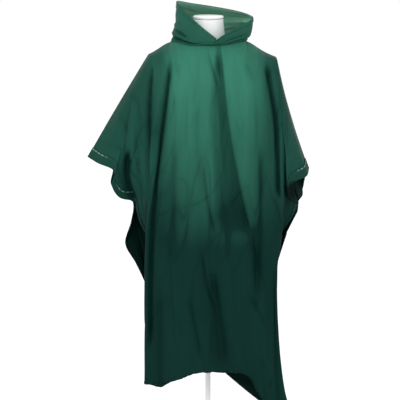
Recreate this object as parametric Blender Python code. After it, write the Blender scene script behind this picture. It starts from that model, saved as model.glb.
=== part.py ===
"""A hooded rain poncho of green sheet vinyl, worn by a limbless dress form on a pole stand.

Metres, +Z up. The origin is the middle of the stand's underside, the front faces -Y and the
wearer's right side is at -X. The poncho is one rectangle of sheet laid over the shoulders with a
hood welded round its neck hole. It hangs in two panels, front and back, that part at the shoulder
fold. Each panel is a grid of points: a face across the body between two corner lines, and a wing on
each side that is the sleeve above the snap and the folded-back side below it.
"""

import math
from collections import namedtuple

import bmesh
import bpy
import numpy as np
from mathutils import Vector

# The sheet and how it is put together
SHEET = 0.0015
GAP = 0.0003
HEM_GAP = 0.0006
HEM_WIDTH = 0.032
PANEL_FALL = 1.24
NECK_HALF_WIDTH = 0.133
NECK_RISE = 0.024
NECK_DIP = {-1: 0.007, 1: -0.006}
YOKE = 0.165

# How finely each cloth piece is divided
FRONT_ROWS, FRONT_FACE, FRONT_WING = 24, 24, 8
BACK_ROWS, BACK_FACE, BACK_WING = 18, 16, 7
ROW_CROWDING = 1.5
WING_HEM_SHARE = 0.09
HOOD_ROUND, HOOD_RINGS = 14, 10

# How far the hood's seam stands above the neck hole's edge
HOOD_LIFT = 0.0035

# The snaps that close the sleeves
SNAP_FALL = 0.28
SNAP_RADIUS, SNAP_THICKNESS = 0.006, 0.002

# The dress form and its stand
FORM_SIDES = 40
FORM_BOTTOM = 0.84
CAP_RADIUS, CAP_THICKNESS, CAP_TILT = 0.0545, 0.010, 8.0
BASE_RADIUS, BASE_THICKNESS = 0.18, 0.006
POLE_RADIUS, POLE_FOOT = 0.0125, 0.305
LOWER_POLE_RADIUS = 0.0095
COLLAR_RADIUS, COLLAR_HEIGHT = 0.03, 0.05
ROUND_SIDES = 48

# A section across a panel's face, by its share of the fall: where the two corner lines run, the
# height of the middle, and how far the middle and the corners stand off the body's centre plane.
Face = namedtuple("Face", "fall left left_z right right_z middle_z middle_y corner_y")
FRONT_FACE_SECTIONS = (
    Face(0.000, -0.212, 1.454, 0.241, 1.446, 1.490, -0.095, 0.000),
    Face(0.040, -0.206, 1.442, 0.243, 1.434, 1.464, -0.112, -0.045),
    Face(0.080, -0.196, 1.414, 0.245, 1.406, 1.436, -0.126, -0.078),
    Face(0.120, -0.185, 1.372, 0.246, 1.364, 1.402, -0.137, -0.096),
    Face(0.165, -0.176, 1.318, 0.249, 1.312, 1.358, -0.146, -0.106),
    Face(0.300, -0.180, 1.150, 0.256, 1.145, 1.190, -0.153, -0.112),
    Face(0.420, -0.198, 1.000, 0.260, 0.990, 1.042, -0.152, -0.114),
    Face(0.550, -0.214, 0.835, 0.258, 0.830, 0.880, -0.148, -0.116),
    Face(0.660, -0.219, 0.700, 0.243, 0.700, 0.745, -0.146, -0.118),
    Face(0.800, -0.221, 0.525, 0.250, 0.485, 0.575, -0.148, -0.120),
    Face(1.000, -0.223, 0.290, 0.303, 0.205, 0.335, -0.152, -0.124),
)
BACK_FACE_SECTIONS = (
    Face(0.000, -0.212, 1.454, 0.241, 1.446, 1.490, 0.090, 0.000),
    Face(0.040, -0.211, 1.440, 0.243, 1.432, 1.476, 0.106, 0.045),
    Face(0.080, -0.210, 1.412, 0.246, 1.405, 1.448, 0.121, 0.080),
    Face(0.120, -0.208, 1.370, 0.247, 1.362, 1.410, 0.134, 0.102),
    Face(0.165, -0.206, 1.318, 0.247, 1.312, 1.362, 0.143, 0.114),
    Face(0.300, -0.205, 1.150, 0.248, 1.145, 1.195, 0.150, 0.120),
    Face(0.420, -0.208, 1.000, 0.248, 0.990, 1.042, 0.150, 0.122),
    Face(0.550, -0.210, 0.840, 0.243, 0.835, 0.880, 0.150, 0.122),
    Face(0.660, -0.212, 0.700, 0.238, 0.700, 0.740, 0.152, 0.124),
    Face(0.800, -0.214, 0.525, 0.238, 0.520, 0.570, 0.158, 0.130),
    Face(1.000, -0.216, 0.290, 0.244, 0.270, 0.330, 0.166, 0.138),
)

# A point on a panel's side edge, by the share of the fall, and how far the wing bows between the
# corner line and that edge. Above the snap the edge is the sleeve's mouth.
Edge = namedtuple("Edge", "fall x y z bow_x bow_y bow_z", defaults=[0.0])
FRONT_LEFT_EDGE = (
    Edge(0.000, -0.431, 0.000, 1.090, -0.004, 0.000),
    Edge(0.040, -0.391, -0.040, 1.070, -0.008, -0.030),
    Edge(0.090, -0.335, -0.062, 1.047, -0.020, -0.040),
    Edge(0.150, -0.344, -0.040, 0.992, -0.030, -0.035),
    Edge(0.210, -0.322, -0.014, 0.950, -0.028, -0.025),
    Edge(0.280, -0.268, -0.004, 0.923, -0.022, -0.020),
    Edge(0.360, -0.240, -0.006, 0.845, -0.018, 0.000),
    Edge(0.460, -0.170, -0.020, 0.745, -0.050, 0.045),
    Edge(0.600, -0.100, -0.040, 0.610, -0.085, 0.070),
    Edge(0.800, -0.070, -0.055, 0.440, -0.100, 0.080),
    Edge(1.000, -0.060, -0.055, 0.310, -0.105, 0.080),
)
FRONT_RIGHT_EDGE = (
    Edge(0.000, 0.360, 0.000, 1.050, -0.016, 0.000),
    Edge(0.040, 0.350, -0.036, 1.025, -0.012, -0.030),
    Edge(0.090, 0.312, -0.064, 1.010, 0.000, -0.035),
    Edge(0.135, 0.286, -0.080, 0.994, 0.004, -0.030),
    Edge(0.180, 0.281, -0.080, 0.968, 0.006, -0.020),
    Edge(0.225, 0.290, -0.066, 0.944, 0.006, -0.015),
    Edge(0.280, 0.320, -0.026, 0.928, 0.004, -0.005),
    Edge(0.360, 0.302, -0.004, 0.872, 0.006, 0.022),
    Edge(0.440, 0.252, -0.008, 0.800, 0.016, 0.030),
    Edge(0.550, 0.185, -0.025, 0.700, 0.040, 0.055),
    Edge(0.680, 0.130, -0.045, 0.590, 0.070, 0.075),
    Edge(0.850, 0.095, -0.055, 0.420, 0.105, 0.085, -0.050),
    Edge(1.000, 0.062, -0.060, 0.316, 0.128, 0.075, -0.175),
)
BACK_LEFT_EDGE = (
    Edge(0.000, -0.431, 0.000, 1.090, -0.004, 0.000),
    Edge(0.040, -0.394, 0.032, 1.077, -0.008, 0.030),
    Edge(0.090, -0.345, 0.055, 1.050, -0.015, 0.040),
    Edge(0.150, -0.351, 0.060, 0.984, -0.016, 0.040),
    Edge(0.210, -0.312, 0.038, 0.946, -0.012, 0.035),
    Edge(0.280, -0.268, 0.008, 0.923, -0.010, 0.030),
    Edge(0.360, -0.278, 0.030, 0.848, -0.006, 0.020),
    Edge(0.440, -0.299, 0.045, 0.770, -0.006, 0.010),
    Edge(0.520, -0.262, 0.045, 0.700, -0.010, 0.000),
    Edge(0.620, -0.215, 0.045, 0.600, -0.024, -0.025),
    Edge(0.800, -0.110, 0.065, 0.440, -0.080, -0.065),
    Edge(1.000, -0.090, 0.075, 0.310, -0.090, -0.075),
)
BACK_RIGHT_EDGE = (
    Edge(0.000, 0.360, 0.000, 1.050, -0.016, 0.000),
    Edge(0.040, 0.355, 0.030, 1.036, -0.006, 0.030),
    Edge(0.090, 0.350, 0.050, 1.010, 0.000, 0.040),
    Edge(0.150, 0.345, 0.055, 0.975, 0.006, 0.040),
    Edge(0.210, 0.343, 0.035, 0.950, 0.008, 0.035),
    Edge(0.280, 0.323, -0.014, 0.930, 0.010, 0.030),
    Edge(0.360, 0.320, 0.030, 0.885, 0.008, 0.025),
    Edge(0.440, 0.290, 0.042, 0.822, 0.008, 0.015),
    Edge(0.520, 0.266, 0.045, 0.750, 0.010, 0.000),
    Edge(0.620, 0.228, 0.045, 0.640, 0.020, -0.020),
    Edge(0.800, 0.120, 0.065, 0.440, 0.080, -0.065),
    Edge(1.000, 0.100, 0.075, 0.300, 0.090, -0.075),
)

# The bottom hem's height across the front, which hangs lowest at its corners.
HemPoint = namedtuple("HemPoint", "x z")
FRONT_HEM_LINE = (
    HemPoint(-0.223, 0.290),
    HemPoint(-0.184, 0.291),
    HemPoint(-0.150, 0.297),
    HemPoint(-0.097, 0.314),
    HemPoint(-0.055, 0.333),
    HemPoint(0.000, 0.341),
    HemPoint(0.060, 0.341),
    HemPoint(0.120, 0.334),
    HemPoint(0.150, 0.318),
    HemPoint(0.178, 0.262),
    HemPoint(0.205, 0.222),
    HemPoint(0.303, 0.205),
)

# A fold runs down a panel. Across is -1 to 1 between the corner lines and goes on to -2 and 2 at the
# side edges. A positive depth is a valley and a negative one a rib.
Fold = namedtuple("Fold", "name start end across_start across_middle across_end half_start half_end depth")
FRONT_FOLDS = (
    Fold("centre pleat", 0.02, 1.30, 0.05, 0.15, 0.30, 0.05, 0.26, 0.036),
    Fold("pleat's right rib", 0.10, 0.75, 0.20, 0.42, 0.58, 0.08, 0.14, -0.010),
    Fold("left corner groove", 0.05, 0.90, -0.99, -0.97, -0.97, 0.06, 0.09, 0.024),
    Fold("left corner rib", 0.03, 0.60, -1.08, -1.10, -1.08, 0.04, 0.05, -0.008),
    Fold("left sleeve groove", 0.02, 0.55, -1.16, -1.20, -1.16, 0.05, 0.07, 0.020),
    Fold("right broad fold", 0.02, 0.62, 0.82, 0.82, 0.74, 0.10, 0.13, 0.024),
    Fold("right sleeve crease", 0.06, 0.50, 1.06, 1.07, 1.10, 0.04, 0.07, 0.020),
    Fold("lower left valley", 0.50, 1.20, -0.66, -0.62, -0.60, 0.10, 0.16, 0.012),
    Fold("lower middle valley", 0.66, 1.30, -0.14, -0.06, 0.02, 0.12, 0.22, 0.016),
    Fold("lower right valley", 0.52, 1.20, 0.82, 0.78, 0.72, 0.08, 0.12, 0.016),
)
BACK_FOLDS = (
    Fold("left fall", 0.04, 1.30, -0.62, -0.58, -0.50, 0.10, 0.22, 0.026),
    Fold("middle fall", 0.12, 1.30, -0.02, 0.06, 0.10, 0.10, 0.26, 0.030),
    Fold("right fall", 0.06, 1.30, 0.58, 0.62, 0.66, 0.10, 0.20, 0.024),
    Fold("left sleeve groove", 0.03, 0.60, -1.12, -1.16, -1.10, 0.06, 0.08, 0.020),
    Fold("right sleeve groove", 0.03, 0.60, 1.10, 1.14, 1.10, 0.06, 0.08, 0.020),
)

# A ring of the dress form: half its width and depth, how far forward its middle sits, and how far it
# leans forward, in degrees.
FormRing = namedtuple("FormRing", "z half_width half_depth forward squareness lean", defaults=[0.0])
FORM_RINGS = (
    FormRing(FORM_BOTTOM, 0.150, 0.098, 0.000, 2.3),
    FormRing(0.860, 0.158, 0.104, 0.000, 2.3),
    FormRing(0.940, 0.156, 0.103, 0.000, 2.3),
    FormRing(1.050, 0.146, 0.098, 0.000, 2.3),
    FormRing(1.160, 0.155, 0.107, 0.002, 2.3),
    FormRing(1.260, 0.166, 0.108, 0.000, 2.2),
    FormRing(1.330, 0.176, 0.104, 0.000, 2.2),
    FormRing(1.380, 0.184, 0.092, 0.000, 2.2),
    FormRing(1.408, 0.184, 0.078, 0.000, 2.2),
    FormRing(1.428, 0.172, 0.067, 0.000, 2.1),
    FormRing(1.443, 0.145, 0.061, 0.000, 2.1),
    FormRing(1.457, 0.112, 0.058, 0.000, 2.0),
    FormRing(1.474, 0.086, 0.058, 0.000, 2.0),
    FormRing(1.495, 0.066, 0.057, 0.000, 2.0),
    FormRing(1.530, 0.059, 0.056, 0.002, 2.0, 2.0),
    FormRing(1.582, 0.054, 0.054, 0.004, 2.0, CAP_TILT),
)

# A station round the hood, by its turn from the front point of the face opening: where its rim is,
# and how far the sheet between the seam and the rim swells out and slumps.
HoodStation = namedtuple("HoodStation", "turn rim_x rim_y rim_z low_out low_drop high_out high_drop")
HOOD_STATIONS = (
    HoodStation(0, 0.029, -0.118, 1.506, 0.012, 0.004, 0.002, 0.006),
    HoodStation(40, -0.045, -0.098, 1.568, 0.010, 0.006, 0.000, 0.020),
    HoodStation(80, -0.105, -0.030, 1.632, 0.006, 0.006, 0.000, 0.050),
    HoodStation(110, -0.106, 0.050, 1.648, 0.010, 0.010, 0.014, 0.065),
    HoodStation(145, -0.064, 0.118, 1.644, 0.070, 0.044, 0.085, 0.100),
    HoodStation(180, 0.010, 0.145, 1.634, 0.110, 0.070, 0.130, 0.120),
    HoodStation(215, 0.086, 0.122, 1.619, 0.072, 0.044, 0.090, 0.100),
    HoodStation(250, 0.142, 0.058, 1.600, 0.018, 0.012, 0.018, 0.055),
    HoodStation(280, 0.156, -0.020, 1.582, 0.014, 0.008, 0.004, 0.035),
    HoodStation(320, 0.100, -0.092, 1.547, 0.014, 0.006, 0.004, 0.016),
    HoodStation(360, 0.031, -0.118, 1.506, 0.012, 0.004, 0.002, 0.006),
)

VINYL = ((0.020, 0.135, 0.090), 0.38, 0.0)
VINYL_HEM = ((0.016, 0.110, 0.074), 0.38, 0.0)
FORM_WHITE = ((0.86, 0.86, 0.84), 0.35, 0.0)
STAND_BLACK = ((0.020, 0.020, 0.022), 0.45, 0.3)
STAND_WHITE = ((0.80, 0.80, 0.79), 0.40, 0.1)
SNAP_METAL = ((0.05, 0.16, 0.11), 0.30, 0.6)


def clear_scene():
    for obj in list(bpy.data.objects):
        bpy.data.objects.remove(obj)


def material(name, look):
    """A Principled material of this colour, roughness and metallic value, made once."""
    if name in bpy.data.materials:
        return bpy.data.materials[name]
    made = bpy.data.materials.new(name)
    made.use_nodes = True
    shader = made.node_tree.nodes["Principled BSDF"]
    colour, roughness, metallic = look
    shader.inputs["Base Color"].default_value = (*colour, 1.0)
    shader.inputs["Roughness"].default_value = roughness
    shader.inputs["Metallic"].default_value = metallic
    made.diffuse_color = (*colour, 1.0)
    return made


def smooth_between(places, values, at):
    """A smooth curve through the values, with a slope at each place from its neighbours."""
    places = np.asarray(places, float)
    values = np.asarray(values, float)
    slopes = np.gradient(values, places)
    at = np.clip(np.asarray(at, float), places[0], places[-1])
    left = np.clip(np.searchsorted(places, at, side="right") - 1, 0, len(places) - 2)
    span = places[left + 1] - places[left]
    t = (at - places[left]) / span
    start = values[left] * (2 * t**3 - 3 * t**2 + 1) + slopes[left] * span * (t**3 - 2 * t**2 + t)
    end = values[left + 1] * (3 * t**2 - 2 * t**3) + slopes[left + 1] * span * (t**3 - t**2)
    return start + end


def column(table, name, at):
    """One named column of a table, read smoothly along its first column."""
    return smooth_between([row[0] for row in table], [getattr(row, name) for row in table], at)


def ramp(value, low, high):
    t = np.clip((value - low) / (high - low), 0.0, 1.0)
    return t * t * (3 - 2 * t)


def face_points(sections, side, fall, across):
    """The points of a panel's face at these shares of the fall, for across from -1 to 1."""
    left, right = column(sections, "left", fall), column(sections, "right", fall)
    x = (left + right) / 2 + across * (right - left) / 2
    yoke = np.clip(fall / YOKE, 0.0, 1.0)
    neckline = np.sqrt(np.clip(1 - (x / NECK_HALF_WIDTH) ** 2, 0.0, 1.0))
    rounded = (1 - np.abs(across) ** 2.6) * yoke + neckline * (1 - yoke)
    corner_y, middle_y = column(sections, "corner_y", fall), column(sections, "middle_y", fall)
    y = corner_y + (middle_y - corner_y) * rounded + side * GAP / 2
    corner_z = np.where(across < 0, column(sections, "left_z", fall), column(sections, "right_z", fall))
    middle_z = column(sections, "middle_z", fall)
    z = corner_z + (middle_z - corner_z) * (1 - across**2)
    beside_neck = np.exp(-(((np.abs(x) - NECK_HALF_WIDTH) / 0.05) ** 2))
    z = z + (NECK_RISE * beside_neck - NECK_DIP[side] * neckline) * (1 - yoke)
    if side < 0:
        hem_z = np.interp(x, [p.x for p in FRONT_HEM_LINE], [p.z for p in FRONT_HEM_LINE])
        z = z + (hem_z - z) * ramp(fall, 0.55, 1.0) ** 3
    return np.stack([x, y, z], axis=-1)


def wing_points(sections, edge, side, hand, fall, out):
    """The points of a panel's wing, for out from 0 at the corner line to 1 at the side edge."""
    corner = face_points(sections, side, fall, np.full_like(fall, hand))
    tip = np.stack([column(edge, axis, fall) for axis in "xyz"], axis=-1)
    tip[..., 1] += side * GAP / 2
    bow = np.stack([column(edge, name, fall) for name in ("bow_x", "bow_y", "bow_z")], axis=-1)
    middle = (corner + tip) / 2 + bow
    out = out[..., None]
    return (1 - out) ** 2 * corner + 2 * out * (1 - out) * middle + out**2 * tip


def outward_normals(points, outward):
    """Unit normals of a grid of points, on the side that `outward` (a sign) picks. Each is the mean
    of the normals of the facets round it, whatever their size."""
    here, below = points[:-1, :-1], points[1:, :-1]
    across, corner = points[:-1, 1:], points[1:, 1:]
    total = np.zeros_like(points)
    for first, second, places in (
        (below - here, corner - here, ((0, 0), (1, 0), (1, 1))),
        (corner - here, across - here, ((0, 0), (1, 1), (0, 1))),
    ):
        facet = outward * np.cross(first, second)
        facet /= np.linalg.norm(facet, axis=-1, keepdims=True)
        for row, start in places:
            total[row : row + facet.shape[0], start : start + facet.shape[1]] += facet
    return total / np.linalg.norm(total, axis=-1, keepdims=True)


def fold_depth(folds, fall, across):
    """How far the folds push each point of a panel inwards."""
    depth = np.zeros_like(fall)
    for fold in folds:
        share = np.clip((fall - fold.start) / (fold.end - fold.start), 0.0, 1.0)
        path = [fold.across_start, fold.across_middle, fold.across_end]
        middle = smooth_between([0.0, 0.5, 1.0], path, share)
        half = fold.half_start + (fold.half_end - fold.half_start) * share
        strength = ramp(share, 0.0, 0.25) * (1 - ramp(share, 0.75, 1.0))
        depth += fold.depth * strength * np.exp(-(((across - middle) / half) ** 2))
    return depth


def falls_of_rows(rows):
    """Each row's share of the fall: crowded towards the shoulder, with one where the hem starts."""
    return np.append(np.linspace(0, 1, rows) ** ROW_CROWDING * (1 - HEM_WIDTH / PANEL_FALL), 1.0)


def panel_grid(side, sections, edges, folds, rows, face, wing):
    """A panel's grid of points and normals, with a column and a row where each hem ends."""
    fall_of_row = falls_of_rows(rows)
    out = np.append(1.0, np.linspace(1 - WING_HEM_SHARE, 0, wing))
    fall, across = np.meshgrid(fall_of_row, np.linspace(-1, 1, face + 1), indexing="ij")
    grids = [face_points(sections, side, fall, across)]
    acrosses = [across]
    for hand, edge in ((-1, edges[0]), (1, edges[1])):
        wing_fall, wing_out = np.meshgrid(fall_of_row, out, indexing="ij")
        points = wing_points(sections, edge, side, hand, wing_fall, wing_out)
        if hand < 0:
            grids.insert(0, points[:, :-1])
            acrosses.insert(0, -1 - wing_out[:, :-1])
        else:
            grids.append(points[:, -2::-1])
            acrosses.append(1 + wing_out[:, -2::-1])
    points = np.concatenate(grids, axis=1)
    across = np.concatenate(acrosses, axis=1)
    fall = np.broadcast_to(fall_of_row[:, None], across.shape)
    normals = outward_normals(points, -side)
    points = points - normals * fold_depth(folds, fall, across)[..., None]
    return points, outward_normals(points, -side)


def neckline_points(angle):
    """The edge of the neck hole, by the angle from its front."""
    x = -NECK_HALF_WIDTH * np.sin(angle)
    sections = FRONT_FACE_SECTIONS[0]
    across = (2 * x - sections.left - sections.right) / (sections.right - sections.left)
    front = face_points(FRONT_FACE_SECTIONS, -1, 0 * angle, across)
    back = face_points(BACK_FACE_SECTIONS, 1, 0 * angle, across)
    return np.where(np.cos(angle)[:, None] > 0, front, back)


def hood_grid(hand):
    """Half the hood, from its seam up to its rim: points and normals pointing out of the hood."""
    start, end = (0.0, 180.0) if hand < 0 else (180.0, 360.0)
    turn = np.linspace(start, end, HOOD_ROUND + 1)
    turns = [station.turn for station in HOOD_STATIONS]

    def station(name):
        return smooth_between(turns, [getattr(s, name) for s in HOOD_STATIONS], turn)

    angle = np.radians(turn)
    out = np.stack([-np.sin(angle), -np.cos(angle), 0 * angle], axis=-1)
    up = np.array([0.0, 0.0, 1.0])
    seam = neckline_points(angle) + up * HOOD_LIFT
    rim = np.stack([station("rim_x"), station("rim_y"), station("rim_z")], axis=-1)
    low = seam + out * station("low_out")[:, None] - up * station("low_drop")[:, None] * 0.5
    high = rim + out * station("high_out")[:, None] - up * station("high_drop")[:, None]
    rise = np.append(np.linspace(0, 1, HOOD_RINGS)[:-1] * 0.88, [0.80, 1.0])
    rise = np.unique(rise)[:, None, None]
    points = (
        (1 - rise) ** 3 * seam
        + 3 * (1 - rise) ** 2 * rise * low
        + 3 * (1 - rise) * rise**2 * high
        + rise**3 * rim
    )
    return points, outward_normals(points, 1)


def grid_solid(name, inner, outer, look, slot):
    """A closed wall between two grids of points, each split along the same diagonals."""
    rows, columns = inner.shape[:2]
    made = bmesh.new()
    skins = []
    for grid in (inner, outer):
        skins.append([[made.verts.new(point) for point in row] for row in grid])
    low, high = skins

    def two(a, b, c, d):
        made.faces.new((a, b, c))
        made.faces.new((a, c, d))

    for i in range(rows - 1):
        for j in range(columns - 1):
            two(high[i][j], high[i + 1][j], high[i + 1][j + 1], high[i][j + 1])
            made.faces.new((low[i][j], low[i + 1][j + 1], low[i + 1][j]))
            made.faces.new((low[i][j], low[i][j + 1], low[i + 1][j + 1]))
    for i in range(rows - 1):
        two(low[i][0], low[i + 1][0], high[i + 1][0], high[i][0])
        two(low[i + 1][-1], low[i][-1], high[i][-1], high[i + 1][-1])
    for j in range(columns - 1):
        two(low[0][j + 1], low[0][j], high[0][j], high[0][j + 1])
        two(low[-1][j], low[-1][j + 1], high[-1][j + 1], high[-1][j])
    bmesh.ops.recalc_face_normals(made, faces=made.faces)
    if made.calc_volume(signed=True) < 0:
        bmesh.ops.reverse_faces(made, faces=made.faces)
    mesh = bpy.data.meshes.new(name)
    made.to_mesh(mesh)
    made.free()
    return place(name, mesh, look, slot)


def place(name, mesh, look, slot):
    mesh.materials.append(material(slot, look))
    obj = bpy.data.objects.new(name, mesh)
    bpy.context.scene.collection.objects.link(obj)
    return obj


def cloth_wall(name, points, normals, look=VINYL, slot="vinyl"):
    return grid_solid(name, points, points + normals * SHEET, look, slot)


def hem_strip(name, points, normals):
    """A hem turned to the outside and welded: the panel's own points, moved out past its sheet."""
    near = points + normals * (SHEET + HEM_GAP)
    far = near + normals * SHEET
    return grid_solid(name, near, far, VINYL_HEM, "vinyl_hem")


def shortened(points, normals, rows):
    """The grid with its end rows (0 the first, -1 the last) drawn back by two gaps."""
    points = points.copy()
    for row in rows:
        inward = 1 if row == 0 else -2
        step = points[inward] - points[row]
        points[row] += step / np.linalg.norm(step, axis=-1, keepdims=True) * 2 * GAP
    return points, normals


def panel(name, side, sections, edges, folds, rows, face, wing):
    """A panel with its two side hems and its bottom hem."""
    points, normals = panel_grid(side, sections, edges, folds, rows, face, wing)
    cloth_wall(f"{name}_panel", points, normals)
    sides = {"left": slice(0, 2), "right": slice(-2, None)}
    for hand, columns in sides.items():
        strip = shortened(points[1:-1, columns], normals[1:-1, columns], [-1])
        hem_strip(f"{name}_{hand}_hem", *strip)
    hem_strip(f"{name}_bottom_hem", points[-2:], normals[-2:])
    row = int(np.argmin(np.abs(falls_of_rows(rows) - SNAP_FALL)))
    hem_face = points + normals * (2 * SHEET + HEM_GAP)
    for hand, columns in sides.items():
        first, second = hem_face[row : row + 2, columns].transpose(1, 0, 2)
        facet = [first[0], first[1], second[1]]
        across = np.cross(facet[1] - facet[0], facet[2] - facet[0])
        axis = Vector(across * np.sign(across @ normals[row, columns][0])).normalized()
        snap(f"snap_{hand}_{name}", Vector(np.mean(facet, axis=0)) + axis * GAP * 2, axis)


def hood():
    """Two halves that meet at the back seam and under the chin, and the hem round the face."""
    for name, hand in (("left", -1), ("right", 1)):
        points, normals = hood_grid(hand)
        step = 2 * GAP
        for column_index, inward in ((0, 1), (-1, -2)):
            towards = points[:, inward] - points[:, column_index]
            lengths = np.linalg.norm(towards, axis=-1, keepdims=True)
            points[:, column_index] += towards / lengths * step
        cloth_wall(f"hood_{name}", points, normals)
        hem_strip(f"hood_{name}_hem", points[-2:], normals[-2:])


def snap(name, centre, axis):
    """A round snap cap whose underside's middle is at the centre, standing along the axis."""
    made = bmesh.new()
    bmesh.ops.create_cone(
        made, cap_ends=True, segments=20, radius1=SNAP_RADIUS, radius2=SNAP_RADIUS * 0.8,
        depth=SNAP_THICKNESS,
    )
    bmesh.ops.translate(made, verts=made.verts, vec=(0, 0, SNAP_THICKNESS / 2))
    mesh = bpy.data.meshes.new(name)
    made.to_mesh(mesh)
    made.free()
    obj = place(name, mesh, SNAP_METAL, "snap")
    obj.location = centre
    obj.rotation_mode = "QUATERNION"
    obj.rotation_quaternion = axis.to_track_quat("Z", "Y")


def turned(name, profile, look, slot):
    """A solid turned about Z from its profile of (radius, z), which starts and ends on the axis."""
    made = bmesh.new()
    ring = [made.verts.new((radius, 0.0, z)) for radius, z in profile]
    edges = [made.edges.new(pair) for pair in zip(ring, ring[1:])]
    bmesh.ops.spin(
        made, geom=ring + edges, cent=(0, 0, 0), axis=(0, 0, 1), angle=math.tau,
        steps=ROUND_SIDES, use_merge=True,
    )
    bmesh.ops.remove_doubles(made, verts=made.verts, dist=1e-5)
    bmesh.ops.recalc_face_normals(made, faces=made.faces)
    mesh = bpy.data.meshes.new(name)
    made.to_mesh(mesh)
    made.free()
    return place(name, mesh, look, slot)


def form_ring(ring):
    """The points round one section of the form, a superellipse."""
    points = []
    for k in range(FORM_SIDES):
        angle = math.tau * k / FORM_SIDES
        c, s = math.cos(angle), math.sin(angle)
        x = math.copysign(abs(c) ** (2 / ring.squareness), c) * ring.half_width
        y = math.copysign(abs(s) ** (2 / ring.squareness), s) * ring.half_depth
        points.append((x, y - ring.forward, ring.z + y * math.tan(math.radians(ring.lean))))
    return points


def dress_form():
    """The torso with its neck, closed below and above, and the flat cap on the neck."""
    made = bmesh.new()
    rings = [[made.verts.new(point) for point in form_ring(ring)] for ring in FORM_RINGS]
    for low, high in zip(rings, rings[1:]):
        for k in range(FORM_SIDES):
            after = (k + 1) % FORM_SIDES
            made.faces.new((low[k], low[after], high[after], high[k]))
    made.faces.new(list(reversed(rings[0])))
    made.faces.new(rings[-1])
    mesh = bpy.data.meshes.new("dress_form")
    made.to_mesh(mesh)
    made.free()
    place("dress_form", mesh, FORM_WHITE, "form")


def neck_cap():
    """A thick disc with rounded edges that leans a little forward on the neck."""
    edge = 0.003
    top = CAP_THICKNESS
    profile = [
        (0.0, 0.0), (CAP_RADIUS - edge, 0.0), (CAP_RADIUS, edge), (CAP_RADIUS, top - edge),
        (CAP_RADIUS - edge * 0.3, top - edge * 0.3), (CAP_RADIUS - edge, top), (0.0, top),
    ]
    cap = turned("neck_cap", profile, FORM_WHITE, "form")
    cap.rotation_euler = (math.radians(CAP_TILT), 0.0, 0.0)
    neck_top = FORM_RINGS[-1]
    cap.location = (0.0, -neck_top.forward, neck_top.z + GAP * 2)


def stand():
    """The round base, the two lengths of pole and the flanged collar under the form."""
    edge = 0.002
    base = [
        (0.0, 0.0), (BASE_RADIUS, 0.0), (BASE_RADIUS, BASE_THICKNESS - edge),
        (BASE_RADIUS - edge, BASE_THICKNESS), (0.0, BASE_THICKNESS),
    ]
    turned("stand_base", base, STAND_WHITE, "stand_base")
    lower_pole = [
        (0.0, BASE_THICKNESS + GAP), (LOWER_POLE_RADIUS, BASE_THICKNESS + GAP),
        (LOWER_POLE_RADIUS, POLE_FOOT - GAP), (0.0, POLE_FOOT - GAP),
    ]
    turned("stand_lower_pole", lower_pole, STAND_WHITE, "stand_base")
    collar_foot = FORM_BOTTOM - GAP - COLLAR_HEIGHT
    pole = [
        (0.0, POLE_FOOT), (POLE_RADIUS, POLE_FOOT), (POLE_RADIUS, collar_foot - GAP),
        (0.0, collar_foot - GAP),
    ]
    turned("stand_pole", pole, STAND_BLACK, "stand")
    collar = [
        (0.0, collar_foot), (COLLAR_RADIUS * 0.62, collar_foot),
        (COLLAR_RADIUS * 0.62, FORM_BOTTOM - GAP - 0.008), (COLLAR_RADIUS, FORM_BOTTOM - GAP - 0.008),
        (COLLAR_RADIUS, FORM_BOTTOM - GAP), (0.0, FORM_BOTTOM - GAP),
    ]
    turned("form_collar", collar, STAND_BLACK, "stand")


def build():
    clear_scene()
    panel(
        "front", -1, FRONT_FACE_SECTIONS, (FRONT_LEFT_EDGE, FRONT_RIGHT_EDGE), FRONT_FOLDS,
        FRONT_ROWS, FRONT_FACE, FRONT_WING,
    )
    panel(
        "back", 1, BACK_FACE_SECTIONS, (BACK_LEFT_EDGE, BACK_RIGHT_EDGE), BACK_FOLDS,
        BACK_ROWS, BACK_FACE, BACK_WING,
    )
    hood()
    dress_form()
    neck_cap()
    stand()


build()
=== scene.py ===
"""A hooded rain poncho of green sheet vinyl on a white dress form with a pole stand.

Metres, +Z up, the front facing -Y and the wearer's right side at -X. Each piece of the poncho is a fine
grid laid on the form of its solid, with its folds and creases placed one by one and a thin wall.
"""

import math
from collections import namedtuple

import bmesh
import bpy
import numpy as np
from bpy.props import FloatProperty, FloatVectorProperty, IntProperty, PointerProperty
from mathutils import Matrix, Vector, noise


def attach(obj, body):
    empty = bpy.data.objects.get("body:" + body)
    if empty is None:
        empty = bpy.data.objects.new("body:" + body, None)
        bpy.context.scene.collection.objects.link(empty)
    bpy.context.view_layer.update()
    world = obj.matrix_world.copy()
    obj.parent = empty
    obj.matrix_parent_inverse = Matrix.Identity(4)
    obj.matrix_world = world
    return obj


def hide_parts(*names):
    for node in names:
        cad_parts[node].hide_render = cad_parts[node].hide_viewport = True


bl_info = {
    "name": "Rain poncho",
    "version": (1, 0, 0),
    "blender": (4, 5, 0),
    "location": "View3D > Sidebar > Poncho",
    "description": "Builds a hooded vinyl rain poncho on a dress form",
    "category": "Object",
}

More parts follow.
